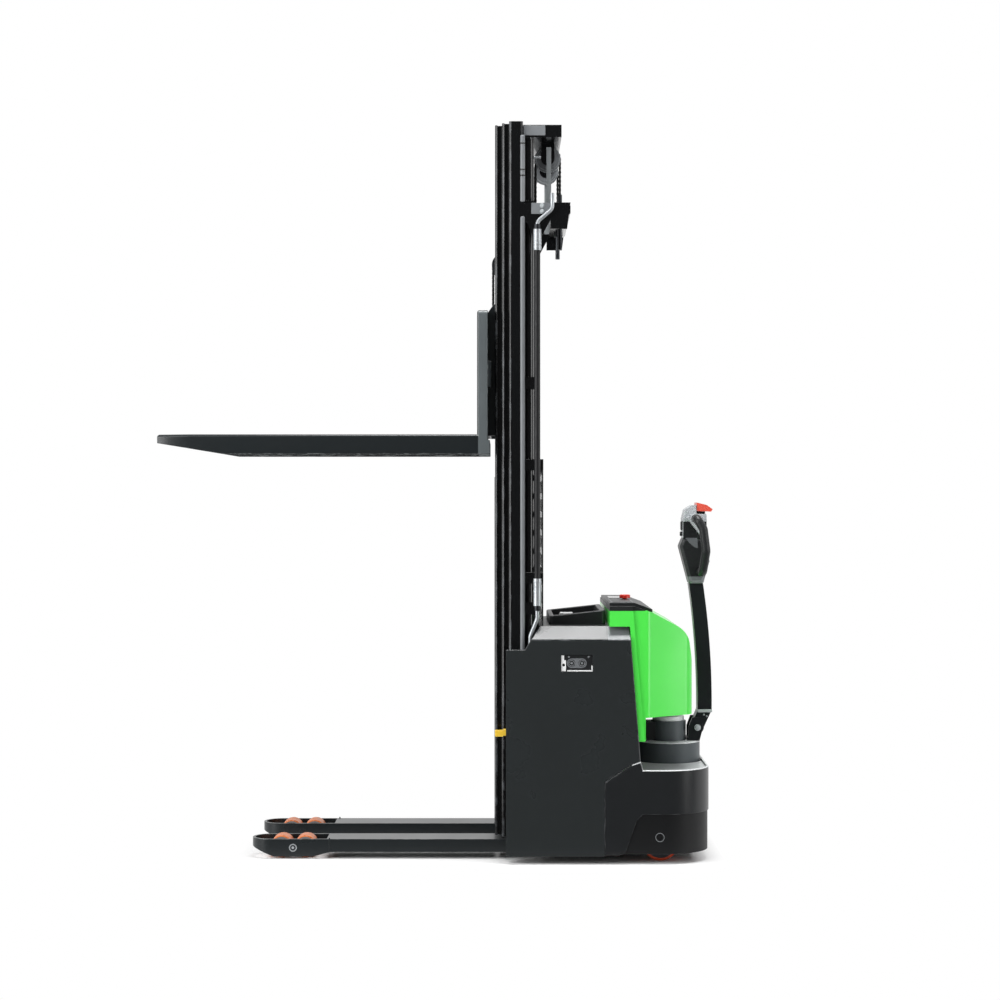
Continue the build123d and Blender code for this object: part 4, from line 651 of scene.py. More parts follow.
# Wheels: cast tyres on steel hubs; the ends of the rocker pins are plated
wheels = {
    "rollerHubMm": 27, "casterHubMm": 38, "driveHubMm": 78, "breakMm": 1, "pinEndsMm": (124, 266),
}


def wheel(node, tyre, hub, hubMm):
    low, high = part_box(node)
    centre = (low + high) / 2 / mm
    piece = softened(node, [tyre, hub], wheels["breakMm"])
    paintFaces(
        piece, 1, lambda place, normal: math.hypot(place.x - centre.x, place.z - centre.z) < hubMm,
    )


def onPinEnd(place, normal):
    return not wheels["pinEndsMm"][0] <= abs(place.y) <= wheels["pinEndsMm"][1]


for side in ("left", "right"):
    for end in ("front", "rear"):
        wheel(end + "_roller_" + side, rollerTread, zincSteel, wheels["rollerHubMm"])
    wheel("caster_wheel_" + side, casterTread, oxideSteel, wheels["casterHubMm"])
    rocker = softened("roller_rocker_" + side, [oxideSteel, zincSteel], wheels["breakMm"])
    paintFaces(rocker, 1, onPinEnd)
wheel("drive_wheel", casterTread, castingPaint, wheels["driveHubMm"])
print("wheels")

# Deck top: tray and dash
deck = {"storage_tray": 4.0, "dash_panel": 3.0}
for node, breakMm in deck.items():
    softened(node, [blackPlastic], breakMm, 3)

# Tiller: bowed arm, moulded head with a grey collar, control cover with a silver crown
handle = {
    "armBreakMm": 5, "headBreakMm": 9, "consoleBreakMm": 6, "bellyBreakMm": 7,
    "collarMm": 1004, "crownMm": 1206, "frontX": 903,
}
softened("tiller_arm", [tillerPaint], handle["armBreakMm"], 3)
head = softened(
    "tiller_head", [blackPlastic, greyPlastic], handle["headBreakMm"], 4,
    cuts=[((0, 0, handle["collarMm"]), (0, 0, 1))],
)
paintFaces(head, 1, lambda place, normal: place.z < handle["collarMm"])
console = softened(
    "head_console", [blackPlastic, consolePlastic], handle["consoleBreakMm"], 4,
    cuts=[((0, 0, handle["crownMm"]), (0, 0, 1))],
)
paintFaces(console, 1, lambda place, normal: place.z > handle["crownMm"] or place.x < handle["frontX"])
softened("belly_button", [bellyPlastic], handle["bellyBreakMm"], 4)
print("tiller")

# Leaf chain. Each leaf of a run is one strip, waisted between the pins; the bow over each sheave keeps its
# shape and has separate waisted plates on pins
chain = {
    "leafMm": 2.4, "plateMm": 9.4, "waistMm": 6.6, "pinMm": 2.3, "pinFacets": 12, "runStepMm": 7.94,
    "leastSteps": 16,
    "main": {
        "place": (398, 160, 2520), "radiusMm": 44, "frontLowMm": 133, "rearLowMm": 2392,
        "bowLinks": 9, "leaves": ((-6.4, 0, 6.4), (-3.2, 3.2)),
    },
    "free": {
        "place": (236, 50, 2149), "radiusMm": 36, "frontLowMm": 1990, "rearLowMm": 1370,
        "bowLinks": 7, "leaves": ((-4.1, 1.4), (-1.4, 4.1)),
    },
}
leafAcross = Vector((0, chain["leafMm"] * mm, 0))


# A closed band between two rings of points, one on each side of a plate
def plate(work, ring):
    near = [work.verts.new(point - leafAcross / 2) for point in ring]
    far = [work.verts.new(point + leafAcross / 2) for point in ring]
    work.faces.new(near)
    work.faces.new(list(reversed(far)))
    for i, vertex in enumerate(near):
        j = (i + 1) % len(ring)
        work.faces.new((near[j], vertex, far[i], far[j]))


# A long leaf: quads across its width, so that it can stretch evenly
def plateStrip(work, ring, steps):
    sheets = [[work.verts.new(point + leafAcross * share) for point in ring] for share in (-0.5, 0.5)]
    last = len(ring) - 1
    for sheet in sheets:
        for i in range(steps):
            work.faces.new((sheet[i], sheet[i + 1], sheet[last - i - 1], sheet[last - i]))
    for i in range(len(ring)):
        j = (i + 1) % len(ring)
        work.faces.new((sheets[0][i], sheets[0][j], sheets[1][j], sheets[1][i]))


def chainRun(name, form, x, lowMm):
    work = bmesh.new()
    centre = form["place"]
    steps = max(chain["leastSteps"], round((centre[2] - lowMm) / chain["runStepMm"]))
    halves = (chain["plateMm"] / 2, chain["waistMm"] / 2)
    rise = (centre[2] - lowMm) / steps
    for side in (-1, 1):
        for offset in form["leaves"][0] + form["leaves"][1]:
            y = side * centre[1] + offset
            ring = [Vector((x - halves[i % 2], y, lowMm + rise * i)) * mm for i in range(steps + 1)]
            ring += [Vector((x + halves[i % 2], y, lowMm + rise * i)) * mm for i in range(steps, -1, -1)]
            plateStrip(work, ring, steps)
    bmesh.ops.recalc_face_normals(work, faces=work.faces)
    return closeMesh(work, name)


# One plate's outline: a half round at each end, in steps of 30 degrees, and a waist between
def linkOutline(start, end):
    along = (end - start).normalized()
    out = along.cross(Vector((0, 1, 0)))
    ring = []
    for place, firstDegrees, waist in ((start, 90, -1), (end, 270, 1)):
        for step in range(7):
            angle = math.radians(firstDegrees + step * 30)
            ring.append(place + (along * math.cos(angle) + out * math.sin(angle)) * chain["plateMm"] / 2)
        ring.append((start + end) / 2 + out * (waist * chain["waistMm"] / 2))
    return ring


def chainBow(name, form):
    work = bmesh.new()
    links = form["bowLinks"]
    upright = Matrix.Rotation(math.radians(90), 4, "X")
    reach = 2 * max(form["leaves"][0] + form["leaves"][1]) + chain["leafMm"]
    for side in (-1, 1):
        centre = Vector((form["place"][0], side * form["place"][1], form["place"][2]))
        joints = []
        for i in range(links + 1):
            angle = math.pi * i / links
            joints.append(centre + Vector((-math.cos(angle), 0, math.sin(angle))) * form["radiusMm"])
        for i in range(links):
            ring = linkOutline(joints[i], joints[i + 1])
            for offset in form["leaves"][i % 2]:
                plate(work, [(point + Vector((0, offset, 0))) * mm for point in ring])
        for joint in joints:
            bmesh.ops.create_cone(
                work, cap_ends=True, segments=chain["pinFacets"], radius1=chain["pinMm"] * mm,
                radius2=chain["pinMm"] * mm, depth=reach * mm,
                matrix=Matrix.Translation(joint * mm) @ upright,
            )
    bmesh.ops.recalc_face_normals(work, faces=work.faces)
    return closeMesh(work, name)


# A chain run between two bodies, from its low end to its high end
def stretched(name, mesh, replaced):
    piece = linked(name, mesh, chainSteel)
    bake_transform(piece)
    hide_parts(replaced)


for key, node, top, front, rear in (
    ("main", "lift_chains", "middle_stage", "inner_stage", "chassis"),
    ("free", "free_lift_chains", "free_lift", "carriage", "inner_stage"),
):
    form = chain[key]
    ends = (("Front", front, form["frontLowMm"], -1), ("Rear", rear, form["rearLowMm"], 1))
    for end, low, lowMm, way in ends:
        x = form["place"][0] + way * form["radiusMm"]
        name = key + "Chain" + end
        stretched(name, chainRun(name, form, x, lowMm), node)
    bow = newPiece(key + "ChainBow", chainBow(key + "ChainBow", form), [chainSteel], top)
    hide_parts(node)
print("chains")

# Lift hose: one rubber line between its two crimped fittings, straight as it hangs; in metres
hose = {
    "place": (0.357, -0.36), "low": 1.007, "high": 2.169, "diameter": 0.021, "length": 1.162, "bend": 0.126,
}
hoseCurve = bpy.data.curves.new("liftHose", "CURVE")
hoseCurve.dimensions = "3D"
hoseCurve.bevel_depth = hose["diameter"] / 2
hoseCurve.bevel_resolution = 6
hoseCurve.use_fill_caps = True
line = hoseCurve.splines.new("NURBS")
line.points.add(3)
hoseHeights = (hose["low"], hose["low"] + hose["bend"], hose["high"] - hose["bend"], hose["high"])
for point, height in zip(line.points, hoseHeights):
    point.co = (hose["place"][0], hose["place"][1], height, 1.0)
line.order_u = 3
line.use_endpoint_u = True
line.resolution_u = 24
liftHose = linked("liftHose", hoseCurve, hoseRubber)
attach(liftHose, "chassis")
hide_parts("lift_hose")
print("hose")


# Small solids for the fittings that sit on the frame
def blockPiece(name, low, high, material, body, breakMm=0.8):
    work = bmesh.new()
    low, high = Vector(low) * mm, Vector(high) * mm
    bmesh.ops.create_cube(
        work, size=1.0, matrix=Matrix.Translation((low + high) / 2) @ Matrix.Diagonal((*(high - low), 1.0)),
    )
    breakEdges(work, lambda e: True, breakMm, 2)
    return settle(newPiece(name, closeMesh(work, name), [material], body))


# A thin block on a side face, between two heights and two places along the machine
def facePlate(name, side, spanX, faceMm, thickMm, spanZ, material, body, breakMm=0.8):
    near, far = sorted((side * faceMm, side * (faceMm + thickMm)))
    blockPiece(name, (spanX[0], near, spanZ[0]), (spanX[1], far, spanZ[1]), material, body, breakMm)


# How many facets each kind of turned part has
facets = {
    "sheave": 64, "boss": 48, "rod": 40, "ring": 36, "disc": 32, "pin": 24, "screw": 20, "bleed": 16,
    "weld": 14, "hexagon": 6,
}


# A turned part from rings of (distance along the axis, radius); a closed one has no end faces
def turn(work, place, axis, profile, kind, closed):
    count = facets[kind]
    swing = Vector((0, 0, 1)).rotation_difference(Vector(axis)).to_matrix().to_4x4()
    spot = Matrix.Translation(Vector(place) * mm) @ swing
    angles = [2 * math.pi * (i + 0.5) / count for i in range(count)]
    rings = []
    for along, radius in profile:
        points = [Vector((radius * math.cos(a), radius * math.sin(a), along)) * mm for a in angles]
        rings.append([work.verts.new(spot @ point) for point in points])
    for lower, upper in zip(rings, rings[1:] + rings[:1] if closed else rings[1:]):
        for i in range(count):
            j = (i + 1) % count
            work.faces.new((lower[i], lower[j], upper[j], upper[i]))
    if not closed:
        work.faces.new(list(reversed(rings[0])))
        work.faces.new(rings[-1])


# One piece from turned parts, each given as place, axis, profile, kind and whether it is a ring
def turnedPiece(name, parts, material, body):
    work = bmesh.new()
    for part in parts:
        turn(work, *part)
    bmesh.ops.recalc_face_normals(work, faces=work.faces)
    return settle(newPiece(name, closeMesh(work, name), [material], body))


# Bolt heads and washers: how their ends are drawn in
hexagon = {"foot": 0.96, "footMm": 0.6, "crown": 0.86, "crownMm": 1.2, "rimMm": 0.5}


def hexHead(place, axis, radius, height):
    body = [(hexagon["footMm"], radius), (height - hexagon["crownMm"], radius)]
    profile = [(0, radius * hexagon["foot"]), *body, (height, radius * hexagon["crown"])]
    return (place, axis, profile, "hexagon", False)


def washer(place, axis, radius, height):
    rim = hexagon["rimMm"]
    return (place, axis, [(0, radius), (height - rim, radius), (height, radius - rim)], "disc", False)


# A place on the left or the right side, moved outward where that is asked for
def atSide(side, place, outMm=0.0):
    return (place[0], side * (place[1] + outMm), place[2])


# A flat plate cut from closed loops of points; inner loops are holes
def cutPlate(name, loops, thickMm, turned, material, body):
    curve = bpy.data.curves.new(name, "CURVE")
    curve.dimensions = "2D"
    curve.fill_mode = "BOTH"
    curve.extrude = thickMm / 2 * mm
    for loop in loops:
        spline = curve.splines.new("POLY")
        spline.points.add(len(loop) - 1)
        for point, (across, along) in zip(spline.points, loop):
            point.co = (across * mm, along * mm, 0, 1)
        spline.use_cyclic_u = True
        spline.use_smooth = False
    shape = bpy.data.objects.new(name + "Shape", curve)
    mesh = bpy.data.meshes.new_from_object(shape)
    bpy.data.objects.remove(shape)
    bpy.data.curves.remove(curve)
    mesh.transform(turned)
    mesh.name = name
    return newPiece(name, mesh, [material], body)


# A plate that stands on a side face, from (x, z) points
def sidePlate(name, loops, outerY, thickMm, material, body):
    middleY = (outerY - math.copysign(thickMm / 2, outerY)) * mm
    upright = Matrix.Translation((0, middleY, 0)) @ Matrix.Rotation(math.radians(90), 4, "X")
    return cutPlate(name, loops, thickMm, upright, material, body)


# Points on a round, every 10 degrees
def arc(x, z, radius, fromDegrees, toDegrees):
    angles = [math.radians(degrees) for degrees in range(fromDegrees, toDegrees + 1, 10)]
    return [(x + radius * math.cos(a), z + radius * math.sin(a)) for a in angles]


def circle(x, z, radius):
    return arc(x, z, radius, 0, 350)


def stadium(x0, x1, z, radius):
    return arc(x1, z, radius, -90, 90) + arc(x0, z, radius, 90, 270)


# Charging socket behind its window: bezel, ringed contacts, pale frame, mounting tab and two screws
socket = {
    "wells": (477.8, 514.2), "upMm": 709.5, "faceMm": -384, "bezelMm": 17, "wellMm": 12.2,
    "bezelOutMm": 2.6, "frameOutMm": 6, "tabOutMm": 3.4, "tabHole": (449.4, 703, 5.2),
    "frame": [(462, 680.6), (551.4, 680.6), (551.4, 701), (547.4, 701), (547.4, 684.8), (462, 684.8)],
    "tab": [(441, 681), (457.5, 681), (457.5, 720), (451, 720), (451, 737), (441, 737)],
    "contactRing": [(-4, 10.4), (3.4, 10.4), (3.4, 8.2), (-4, 8.2)],
    "contactPin": [(-18, 4.6), (0.5, 4.6), (2, 3.2)],
    "screws": (468, 538), "screwUpMm": 731.5, "screw": [(0, 3.4), (1.2, 3.4), (2.4, 2.2)],
}
bezelLoops = [stadium(*socket["wells"], socket["upMm"], socket["bezelMm"])]
bezelLoops += [circle(x, socket["upMm"], socket["wellMm"]) for x in socket["wells"]]
for name, loops, outMm, material, slot in (
    ("socketBezel", bezelLoops, socket["bezelOutMm"], greyPlastic, "black_plastic"),
    ("socketFrame", [socket["frame"]], socket["frameOutMm"], whitePlastic, None),
    ("socketTab", [socket["tab"], circle(*socket["tabHole"])], socket["tabOutMm"], whitePlastic, None),
):
    sidePlate(name, loops, socket["faceMm"] - outMm, outMm, material, "chassis")
contacts = []
for x in socket["wells"]:
    spot = (x, socket["faceMm"], socket["upMm"])
    contacts.append((spot, (0, -1, 0), socket["contactRing"], "ring", True))
    contacts.append((spot, (0, -1, 0), socket["contactPin"], "pin", False))
turnedPiece("socketContacts", contacts, zincSteel, "chassis")
screws = []
for x in socket["screws"]:
    screws.append(((x, socket["faceMm"], socket["screwUpMm"]), (0, -1, 0), socket["screw"], "screw", False))
turnedPiece("socketScrews", screws, zincSteel, "chassis")
print("socket")

# Mast head: grey end plates on the crosshead, bolted pads at the chain anchor, bleed screws on the cylinders
mastHead = {
    "plateX": (309, 386), "plateZ": (2581, 2616), "beamEndMm": 322, "plateMm": 3,
    "padX": (336, 402), "padZ": (2299, 2338), "railMm": 345, "padMm": 2, "padBreakMm": 0.6,
    "boltX": 374, "boltZ": (2308, 2328), "washer": (8.5, 1.6), "bolt": (6.8, 5),
    "bleedPlace": (345, 300, 2506),
    "bleed": [(0, 5), (7, 5), (7, 3.2), (20, 3.2), (20, 5.2), (25, 5.2)],
}
for side, word in bothSides:
    facePlate(
        "crossheadPlate" + word, side, mastHead["plateX"], mastHead["beamEndMm"], mastHead["plateMm"],
        mastHead["plateZ"], midGreyEnamelAndLight, "middle_stage",
    )
    bolts = []
    for z in mastHead["boltZ"]:
        spot = (mastHead["boltX"], mastHead["railMm"] + mastHead["padMm"], z)
        bolts.append(washer(atSide(side, spot), (0, side, 0), *mastHead["washer"]))
        bolts.append(hexHead(atSide(side, spot, mastHead["washer"][1]), (0, side, 0), *mastHead["bolt"]))
    turnedPiece("anchorBolts" + word, bolts, fittingPaint, "chassis")
    facePlate(
        "anchorPad" + word, side, mastHead["padX"], mastHead["railMm"], mastHead["padMm"], mastHead["padZ"],
        midGreyEnamelAndLight, "chassis", mastHead["padBreakMm"],
    )
    bleed = (atSide(side, mastHead["bleedPlace"]), (1, 0, 0), mastHead["bleed"], "bleed", False)
    turnedPiece("bleedScrew" + word, [bleed], zincSteel, "chassis")

# Tube with dark rings along the rear edge of each outer rail, painted mid grey as a painted highlight
tube = {
    "x": 305, "y": 342, "radius": 8.6, "taperMm": 3, "spans": ((304, 2290), (2342, 2579)),
    "ringRadius": 9.3, "ringMm": 5, "ringBreakMm": 0.5, "rings": (2433, 2454, 2547),
}


# A round bar from a low to a high end, with its ends drawn in
def upRod(side, low, high, radius, taper):
    long = high - low
    profile = [(0, radius - taper), (taper, radius), (long - taper, radius), (long, radius - taper)]
    return ((tube["x"], side * tube["y"], low), (0, 0, 1), profile, "rod", False)


for side, word in bothSides:
    runs = [upRod(side, low, high, tube["radius"], tube["taperMm"]) for low, high in tube["spans"]]
    turnedPiece("railBead" + word, runs, midGreyEnamelAndLight, "chassis")
    rings = [
        upRod(side, z, z + tube["ringMm"], tube["ringRadius"], tube["ringBreakMm"]) for z in tube["rings"]
    ]
    turnedPiece("beadRings" + word, rings, mastPaint, "chassis")

# Sheaves: a turned ring and a hub boss on each face
sheave = {
    "faceMm": 12, "ring": [(-0.4, 43.5), (0.9, 43.5), (0.9, 40), (-0.4, 40)],
    "boss": [(-0.4, 17.5), (1.2, 17), (1.2, 13.5), (-0.4, 13.5)],
}
rings = []
for side in (-1, 1):
    for way in (-1, 1):
        x, y, z = chain["main"]["place"]
        spot = (x, side * y + way * sheave["faceMm"], z)
        rings.append((spot, (0, way, 0), sheave["ring"], "sheave", True))
        rings.append((spot, (0, way, 0), sheave["boss"], "boss", True))
turnedPiece("sheaveRings", rings, zincSteel, "mast_sheaves")

# Crimped hose ends: pressed rings and a nut toward the pipe; each end by its low, high and nut height
crimp = {
    "x": 357, "y": -360, "ends": ((911, 1007, 893), (2169, 2243, 2243)),
    "shares": (0.12, 0.3, 0.48), "ring": [(-4, 13.4), (-3, 14.7), (3, 14.7), (4, 13.4)],
    "nut": [(0, 11.6), (1, 12.6), (17, 12.6), (18, 11.6)],
}
rings = []
nuts = []
for low, high, nut in crimp["ends"]:
    for share in crimp["shares"]:
        z = low + (high - low) * (share if nut > low else 1 - share)
        rings.append(((crimp["x"], crimp["y"], z), (0, 0, 1), crimp["ring"], "ring", False))
    nuts.append(((crimp["x"], crimp["y"], nut), (0, 0, 1), crimp["nut"], "hexagon", False))
crimpRings = turnedPiece("crimpRings", rings, zincSteel, "chassis")
crimpNuts = turnedPiece("crimpNuts", nuts, oxideSteel, "chassis")
print("mast head")

# Legs: weld bead where the nose begins and a circlip round each rocker pin
legs = {
    "pin": (-516.5, 265, 40), "clip": [(-0.5, 14), (1.4, 14), (1.4, 10.2), (-0.5, 10.2)],
    "pinEnd": [(-1, 4.6), (1, 4.6), (1.8, 3.6)],
    "seam": (-386, 264.6, 0), "weld": [(24, 0.8), (26, 2.6), (74, 2.6), (76, 0.8)],
}
# Skirt: a dark rubber disc in each access hole as painted shade, with a plated lip round it as a painted
# highlight on the hole's rim
access = {
    "place": (789, 388, 95), "plug": [(-6, 13.2), (-1, 13.2), (-1, 10.4), (-5, 9.6)],
    "lip": [(-0.6, 16.2), (0.8, 15.6), (0.8, 14), (-0.6, 14)],
}
for side, word in bothSides:
    out = (0, side, 0)
    pin = atSide(side, legs["pin"])
    hole = atSide(side, access["place"])
    clip = [(pin, out, legs["clip"], "ring", True), (pin, out, legs["pinEnd"], "pin", False)]
    turnedPiece("pinClip" + word, clip, zincSteel, "chassis")
    weld = [(atSide(side, legs["seam"]), (0, 0, 1), legs["weld"], "weld", False)]
    turnedPiece("noseWeld" + word, weld, forkPaint, "chassis")
    plug = [(hole, out, access["plug"], "disc", False)]
    turnedPiece("accessHoleShade" + word, plug, hoseRubber, "chassis")
    lip = [(hole, out, access["lip"], "ring", True)]
    turnedPiece("accessRimHighlight" + word, lip, zincSteel, "chassis")

# Dust plate that closes the skirt round the steering collar, painted pale as a painted highlight
dust = {
    "frontX": 660, "sideY": 383.5, "cornerMm": 161.5, "hole": (847, 0, 119), "lowMm": 322,
    "thickMm": 2,
}
edge = [(dust["frontX"], -dust["sideY"])]
edge += arc(base["cornerX"], -base["cornerY"], dust["cornerMm"], -90, 0)
edge += [(x, -y) for x, y in reversed(edge)]
lift = Matrix.Translation((0, 0, (dust["lowMm"] + dust["thickMm"] / 2) * mm))
cutPlate(
    "dustPlate", [edge, circle(*dust["hole"])], dust["thickMm"], lift, paleEnamelAndHighlight, "chassis",
)
print("legs and skirt")

# Tiller: pale band at the foot of the arm, pivot bolts, foot screws, a cover over the motor's terminals, and
# grey trim on the cheeks of the head, above the grips
tiller = {
    "bandLow": (952, -38.6, 503), "bandHigh": (1006, 38.6, 514), "bandBreakMm": 1.5,
    "pivot": (951, 54, 449), "washer": (12, 2), "bolt": (8, 5),
    "footScrews": ((976, 37.4, 495), (986, 37.4, 489)), "screw": [(0, 3.4), (1.2, 3.4), (2, 2.2)],
    "coverLow": (762, -42, 401), "coverHigh": (800, 42, 470), "coverBreakMm": 5,
    "cheek": [(906, 1146), (950, 1146), (952, 1108), (938, 1112), (920, 1128)],
    "cheekY": 57.2, "cheekMm": 2.4,
}
blockPiece(
    "armBand", tiller["bandLow"], tiller["bandHigh"], fittingPaint, "tiller",
    tiller["bandBreakMm"],
)
blockPiece(
    "terminalCover", tiller["coverLow"], tiller["coverHigh"], blackPlastic, "steering",
    tiller["coverBreakMm"],
)
pivot = []
screws = []
for side, word in bothSides:
    out = (0, side, 0)
    pivot.append(washer(atSide(side, tiller["pivot"]), out, *tiller["washer"]))
    pivot.append(hexHead(atSide(side, tiller["pivot"], tiller["washer"][1]), out, *tiller["bolt"]))
    for spot in tiller["footScrews"]:
        screws.append((atSide(side, spot), out, tiller["screw"], "screw", False))
    sidePlate(
        "headTrim" + word, [tiller["cheek"]], side * tiller["cheekY"], tiller["cheekMm"], greyPlastic,
        "tiller",
    )
turnedPiece("pivotBolts", pivot, fittingPaint, "steering")
turnedPiece("footScrews", screws, zincSteel, "tiller")

# Rubber boot between the safety button and its seat: a sleeve with two folds. Its rings are shares of the
# gap, each drawn in by its fold; the gap narrows toward the rear
boot = {
    "frontX": 951, "rearX": 981, "halfY": 45, "seatMm": 1234, "gapMm": 10.9, "gapFromX": 948,
    "droop": 3 / 53, "wallMm": 2, "endMm": 9,
    "folds": ((0, 0), (0.25, 2.4), (0.5, 0.3), (0.75, 2.4), (1, 0)),
}


# Joins two rings of four corners
def joinRings(work, first, second):
    for i in range(4):
        j = (i + 1) % 4
        work.faces.new((first[i], first[j], second[j], second[i]))


work = bmesh.new()
sleeves = []
for inward in (0.0, boot["wallMm"]):
    rings = []
    for share, fold in boot["folds"]:
        inset = fold + inward
        front, rear, reach = boot["frontX"] + inset, boot["rearX"] - inset, boot["halfY"] - inset
        ring = []
        for x, y in ((front, -reach), (rear, -reach), (rear, reach), (front, reach)):
            rise = share * (boot["gapMm"] - (x - boot["gapFromX"]) * boot["droop"])
            ring.append(work.verts.new(Vector((x, y, boot["seatMm"] + rise)) * mm))
        rings.append(ring)
    for low, high in zip(rings, rings[1:]):
        joinRings(work, low, high)
    sleeves.append(rings)
for end in (0, -1):
    joinRings(work, sleeves[0][end], sleeves[1][end])
bmesh.ops.recalc_face_normals(work, faces=work.faces)
buttonBoot = linked("buttonBoot", closeMesh(work, "buttonBoot"), hoseRubber)
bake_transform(buttonBoot)
print("tiller trim")

# Deck trim, each block by its low and high corner: clip and pull tab on moulded seats in the tray; on the
# dash a bezel round the switch field, and a blank display under a dark lens
deckTrim = {
    "clipSeat": ((440, -160, 848), (494, -70, 870), blackPlastic, "black_plastic", 2),
    "trayClip": ((444, -152, 870), (490, -78, 875), whitePlastic, None, 2),
    "tabSeat": ((514, -150, 848), (556, -112, 868), blackPlastic, "black_plastic", 2),
    "pullTab": ((517, -146, 868), (553, -116, 872), orangePlastic, None, 1.5),
    "dashBezel": ((622, -318, 920), (700, -12, 921.4), greyPlastic, "black_plastic", 0.6),
    "switchField": ((627, -312, 921.4), (696, -18, 922.2), blackPlastic, "black_plastic", 0.4),
    "dashDisplay": ((630, 40, 920), (690, 190, 921.6), lensPlastic, "black_plastic", 0.6),
}
for name, (low, high, material, slot, breakMm) in deckTrim.items():
    blockPiece(name, low, high, material, "chassis", breakMm)
print("tray and dash")

# Studio: a soft box overhead, a weak front fill and two tall side strips, before a white backdrop
lamps = {
    "topBox": {"place": (0.35, -0.7, 5.4), "size": (2.6, 1.3), "power": 240, "aim": (0.4, -0.2, 0.6)},
    "frontFill": {"place": (-3.6, -5.4, 4.2), "size": (2.6, 2.6), "power": 125, "aim": (0.3, 0, 1)},
    "leftStrip": {"place": (-4.4, -2.8, 1.6), "size": (2, 3.8), "power": 175, "aim": (0.3, -0.2, 1.3)},
    "rightStrip": {"place": (5, -2.6, 1.8), "size": (1.6, 3.8), "power": 85, "aim": (0.6, -0.2, 0.9)},
}
for name, form in lamps.items():
    light = bpy.data.lights.new(name, "AREA")
    light.shape = "RECTANGLE"
    light.size, light.size_y = form["size"]
    light.energy = form["power"]
    holder = linked(name, light)
    holder.location = form["place"]
    aim = Vector(form["aim"]) - Vector(form["place"])
    holder.rotation_euler = aim.to_track_quat("-Z", "Y").to_euler()

studio = {
    "cameraPlace": (0.225, -8.285, 1.285), "lensMm": 80.64, "sensorMm": 36, "worldLight": 0.31,
    "roomDim": 0.08, "skyFade": (-0.5, 0.1), "floorFade": (-0.6, -0.28), "floorHalf": 7, "shadowReach": 0.12,
    "shadowed": (((0.57, 0, 0), (0.34, 0.4, 1)), ((-0.2, 0, 0), (0.4, 0.25, 1))),
}
camera = linked("camera", bpy.data.cameras.new("camera"))
camera.data.sensor_width = studio["sensorMm"]
camera.data.lens = studio["lensMm"]
camera.location = studio["cameraPlace"]
camera.rotation_euler = (math.radians(90), 0, 0)
bpy.context.scene.camera = camera


# An emptied node tree, its camera rays, and its rays that are mirrored or pass through
def bareTree(owner):
    owner.use_nodes = True
    tree = owner.node_tree
    tree.nodes.clear()
    path = addNode(tree, "LightPath").outputs
    mirror = addNode(
        tree, "Math", {0: path["Is Glossy Ray"], 1: path["Is Transmission Ray"]}, operation="MAXIMUM",
    )
    return tree, path["Is Camera Ray"], mirror.outputs["Value"]


# Dim toward the viewer and white behind the object
def roomTone(tree, vector, fade):
    heading = addNode(tree, "SeparateXYZ", {"Vector": vector})
    tone = addNode(
        tree, "MapRange",
        {
            "Value": heading.outputs["Y"], "From Min": fade[0], "From Max": fade[1],
            "To Min": studio["roomDim"], "To Max": 1.0,
        },
    )
    return tone.outputs["Result"]


# Seen directly the backdrop is white; in reflections it is white behind the object and dim behind the viewer
world = bpy.data.worlds.new("studio")
bpy.context.scene.world = world
tree, cameraRay, mirrorRay = bareTree(world)
backdrop = roomTone(tree, addNode(tree, "TexCoord").outputs["Generated"], studio["skyFade"])
shown = addNode(tree, "Math", {0: mirrorRay, 1: backdrop}, operation="MULTIPLY")
seen = addNode(tree, "Math", {0: cameraRay, 1: shown.outputs["Value"]}, operation="MAXIMUM")
unseen = addNode(tree, "Math", {0: 1.0, 1: mirrorRay}, operation="SUBTRACT")
ambient = addNode(tree, "Math", {0: unseen.outputs["Value"], 1: studio["worldLight"]}, operation="MULTIPLY")
level = addNode(
    tree, "Math", {0: seen.outputs["Value"], 1: ambient.outputs["Value"]}, operation="MAXIMUM",
)
sky = addNode(tree, "Background", {"Color": linear("#FFFFFF"), "Strength": level.outputs["Value"]})
addNode(tree, "OutputWorld", {"Surface": sky.outputs["Background"]})

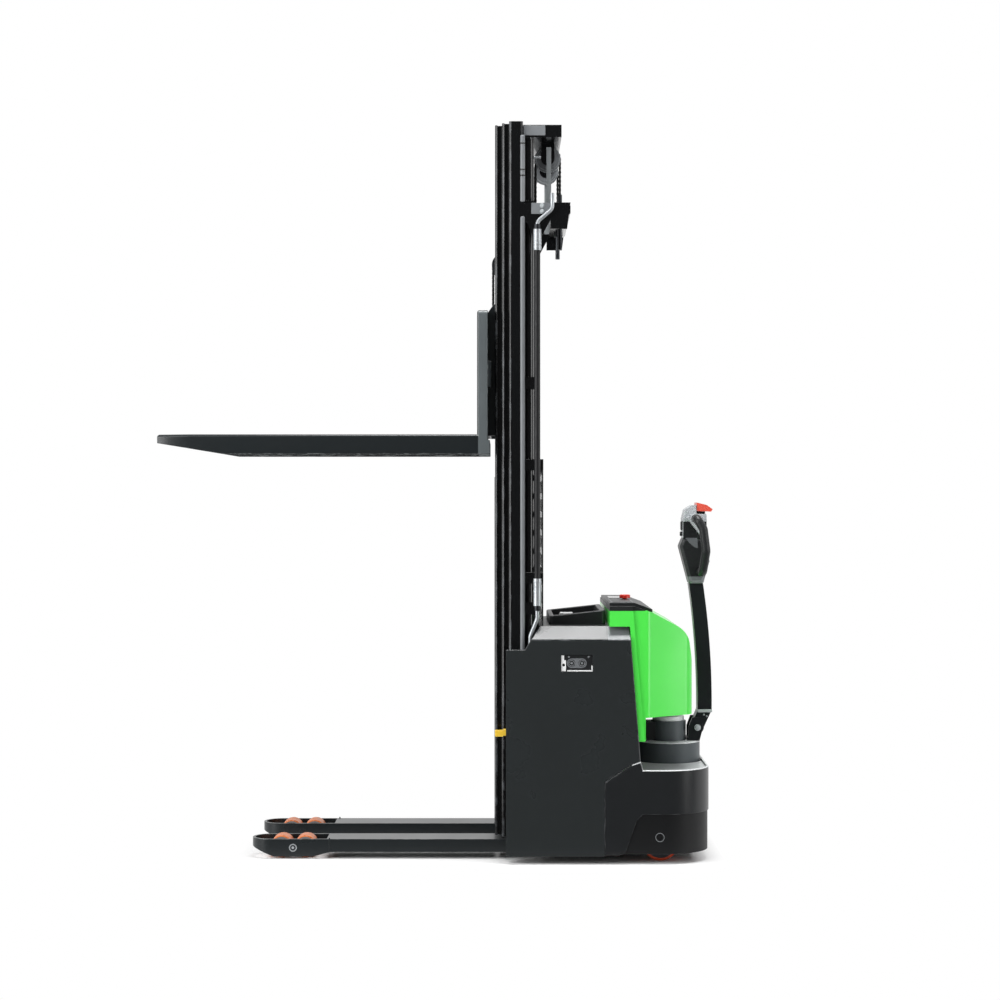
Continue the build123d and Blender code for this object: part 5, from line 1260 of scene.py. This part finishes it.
# The floor is matt under the machine, where its shadow lies, and glows white further out; in reflections it
# is dim toward the viewer, as the room is
floorMaterial = bpy.data.materials.new("paleStudioFloor")
tree, cameraRay, mirrorRay = bareTree(floorMaterial)
place = addNode(tree, "NewGeometry").outputs["Position"]
behind = roomTone(tree, place, studio["floorFade"])
seen = addNode(tree, "Math", {0: cameraRay, 1: mirrorRay}, operation="MAXIMUM")
strength = addNode(tree, "Math", {0: cameraRay, 1: behind}, operation="MAXIMUM")
glowing = 1.0
for centre, half in studio["shadowed"]:
    away = addNode(tree, "VectorMath", {0: place, 1: centre}, operation="SUBTRACT")
    away = addNode(tree, "VectorMath", {0: away.outputs[0]}, operation="ABSOLUTE")
    away = addNode(tree, "VectorMath", {0: away.outputs[0], 1: half}, operation="SUBTRACT")
    away = addNode(tree, "VectorMath", {0: away.outputs[0]}, operation="MAXIMUM")
    reach = addNode(tree, "VectorMath", {0: away.outputs[0]}, operation="LENGTH")
    fade = addNode(tree, "MapRange", {"Value": reach.outputs["Value"], "From Max": studio["shadowReach"]})
    nearest = addNode(tree, "Math", {0: glowing, 1: fade.outputs["Result"]}, operation="MINIMUM")
    glowing = nearest.outputs["Value"]
share = addNode(tree, "Math", {0: seen.outputs["Value"], 1: glowing}, operation="MULTIPLY")
matt = addNode(tree, "BsdfDiffuse", {"Color": linear("#F4F4F4")})
glow = addNode(tree, "Emission", {"Strength": strength.outputs["Value"]})
blend = addNode(
    tree, "MixShader", {0: share.outputs["Value"], 1: matt.outputs["BSDF"], 2: glow.outputs["Emission"]},
)
addNode(tree, "OutputMaterial", {"Surface": blend.outputs["Shader"]})
wide = studio["floorHalf"]
corners = [(-wide, -wide, 0), (wide, -wide, 0), (wide, wide, 0), (-wide, wide, 0)]
floorMesh = bpy.data.meshes.new("floor")
floorMesh.from_pydata(corners, [], [(0, 1, 2, 3)])
linked("floor", floorMesh, floorMaterial)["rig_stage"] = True

bpy.context.scene.view_settings.view_transform = "Standard"

low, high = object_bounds()
print("visual box", [round(v, 3) for v in low], [round(v, 3) for v in high])
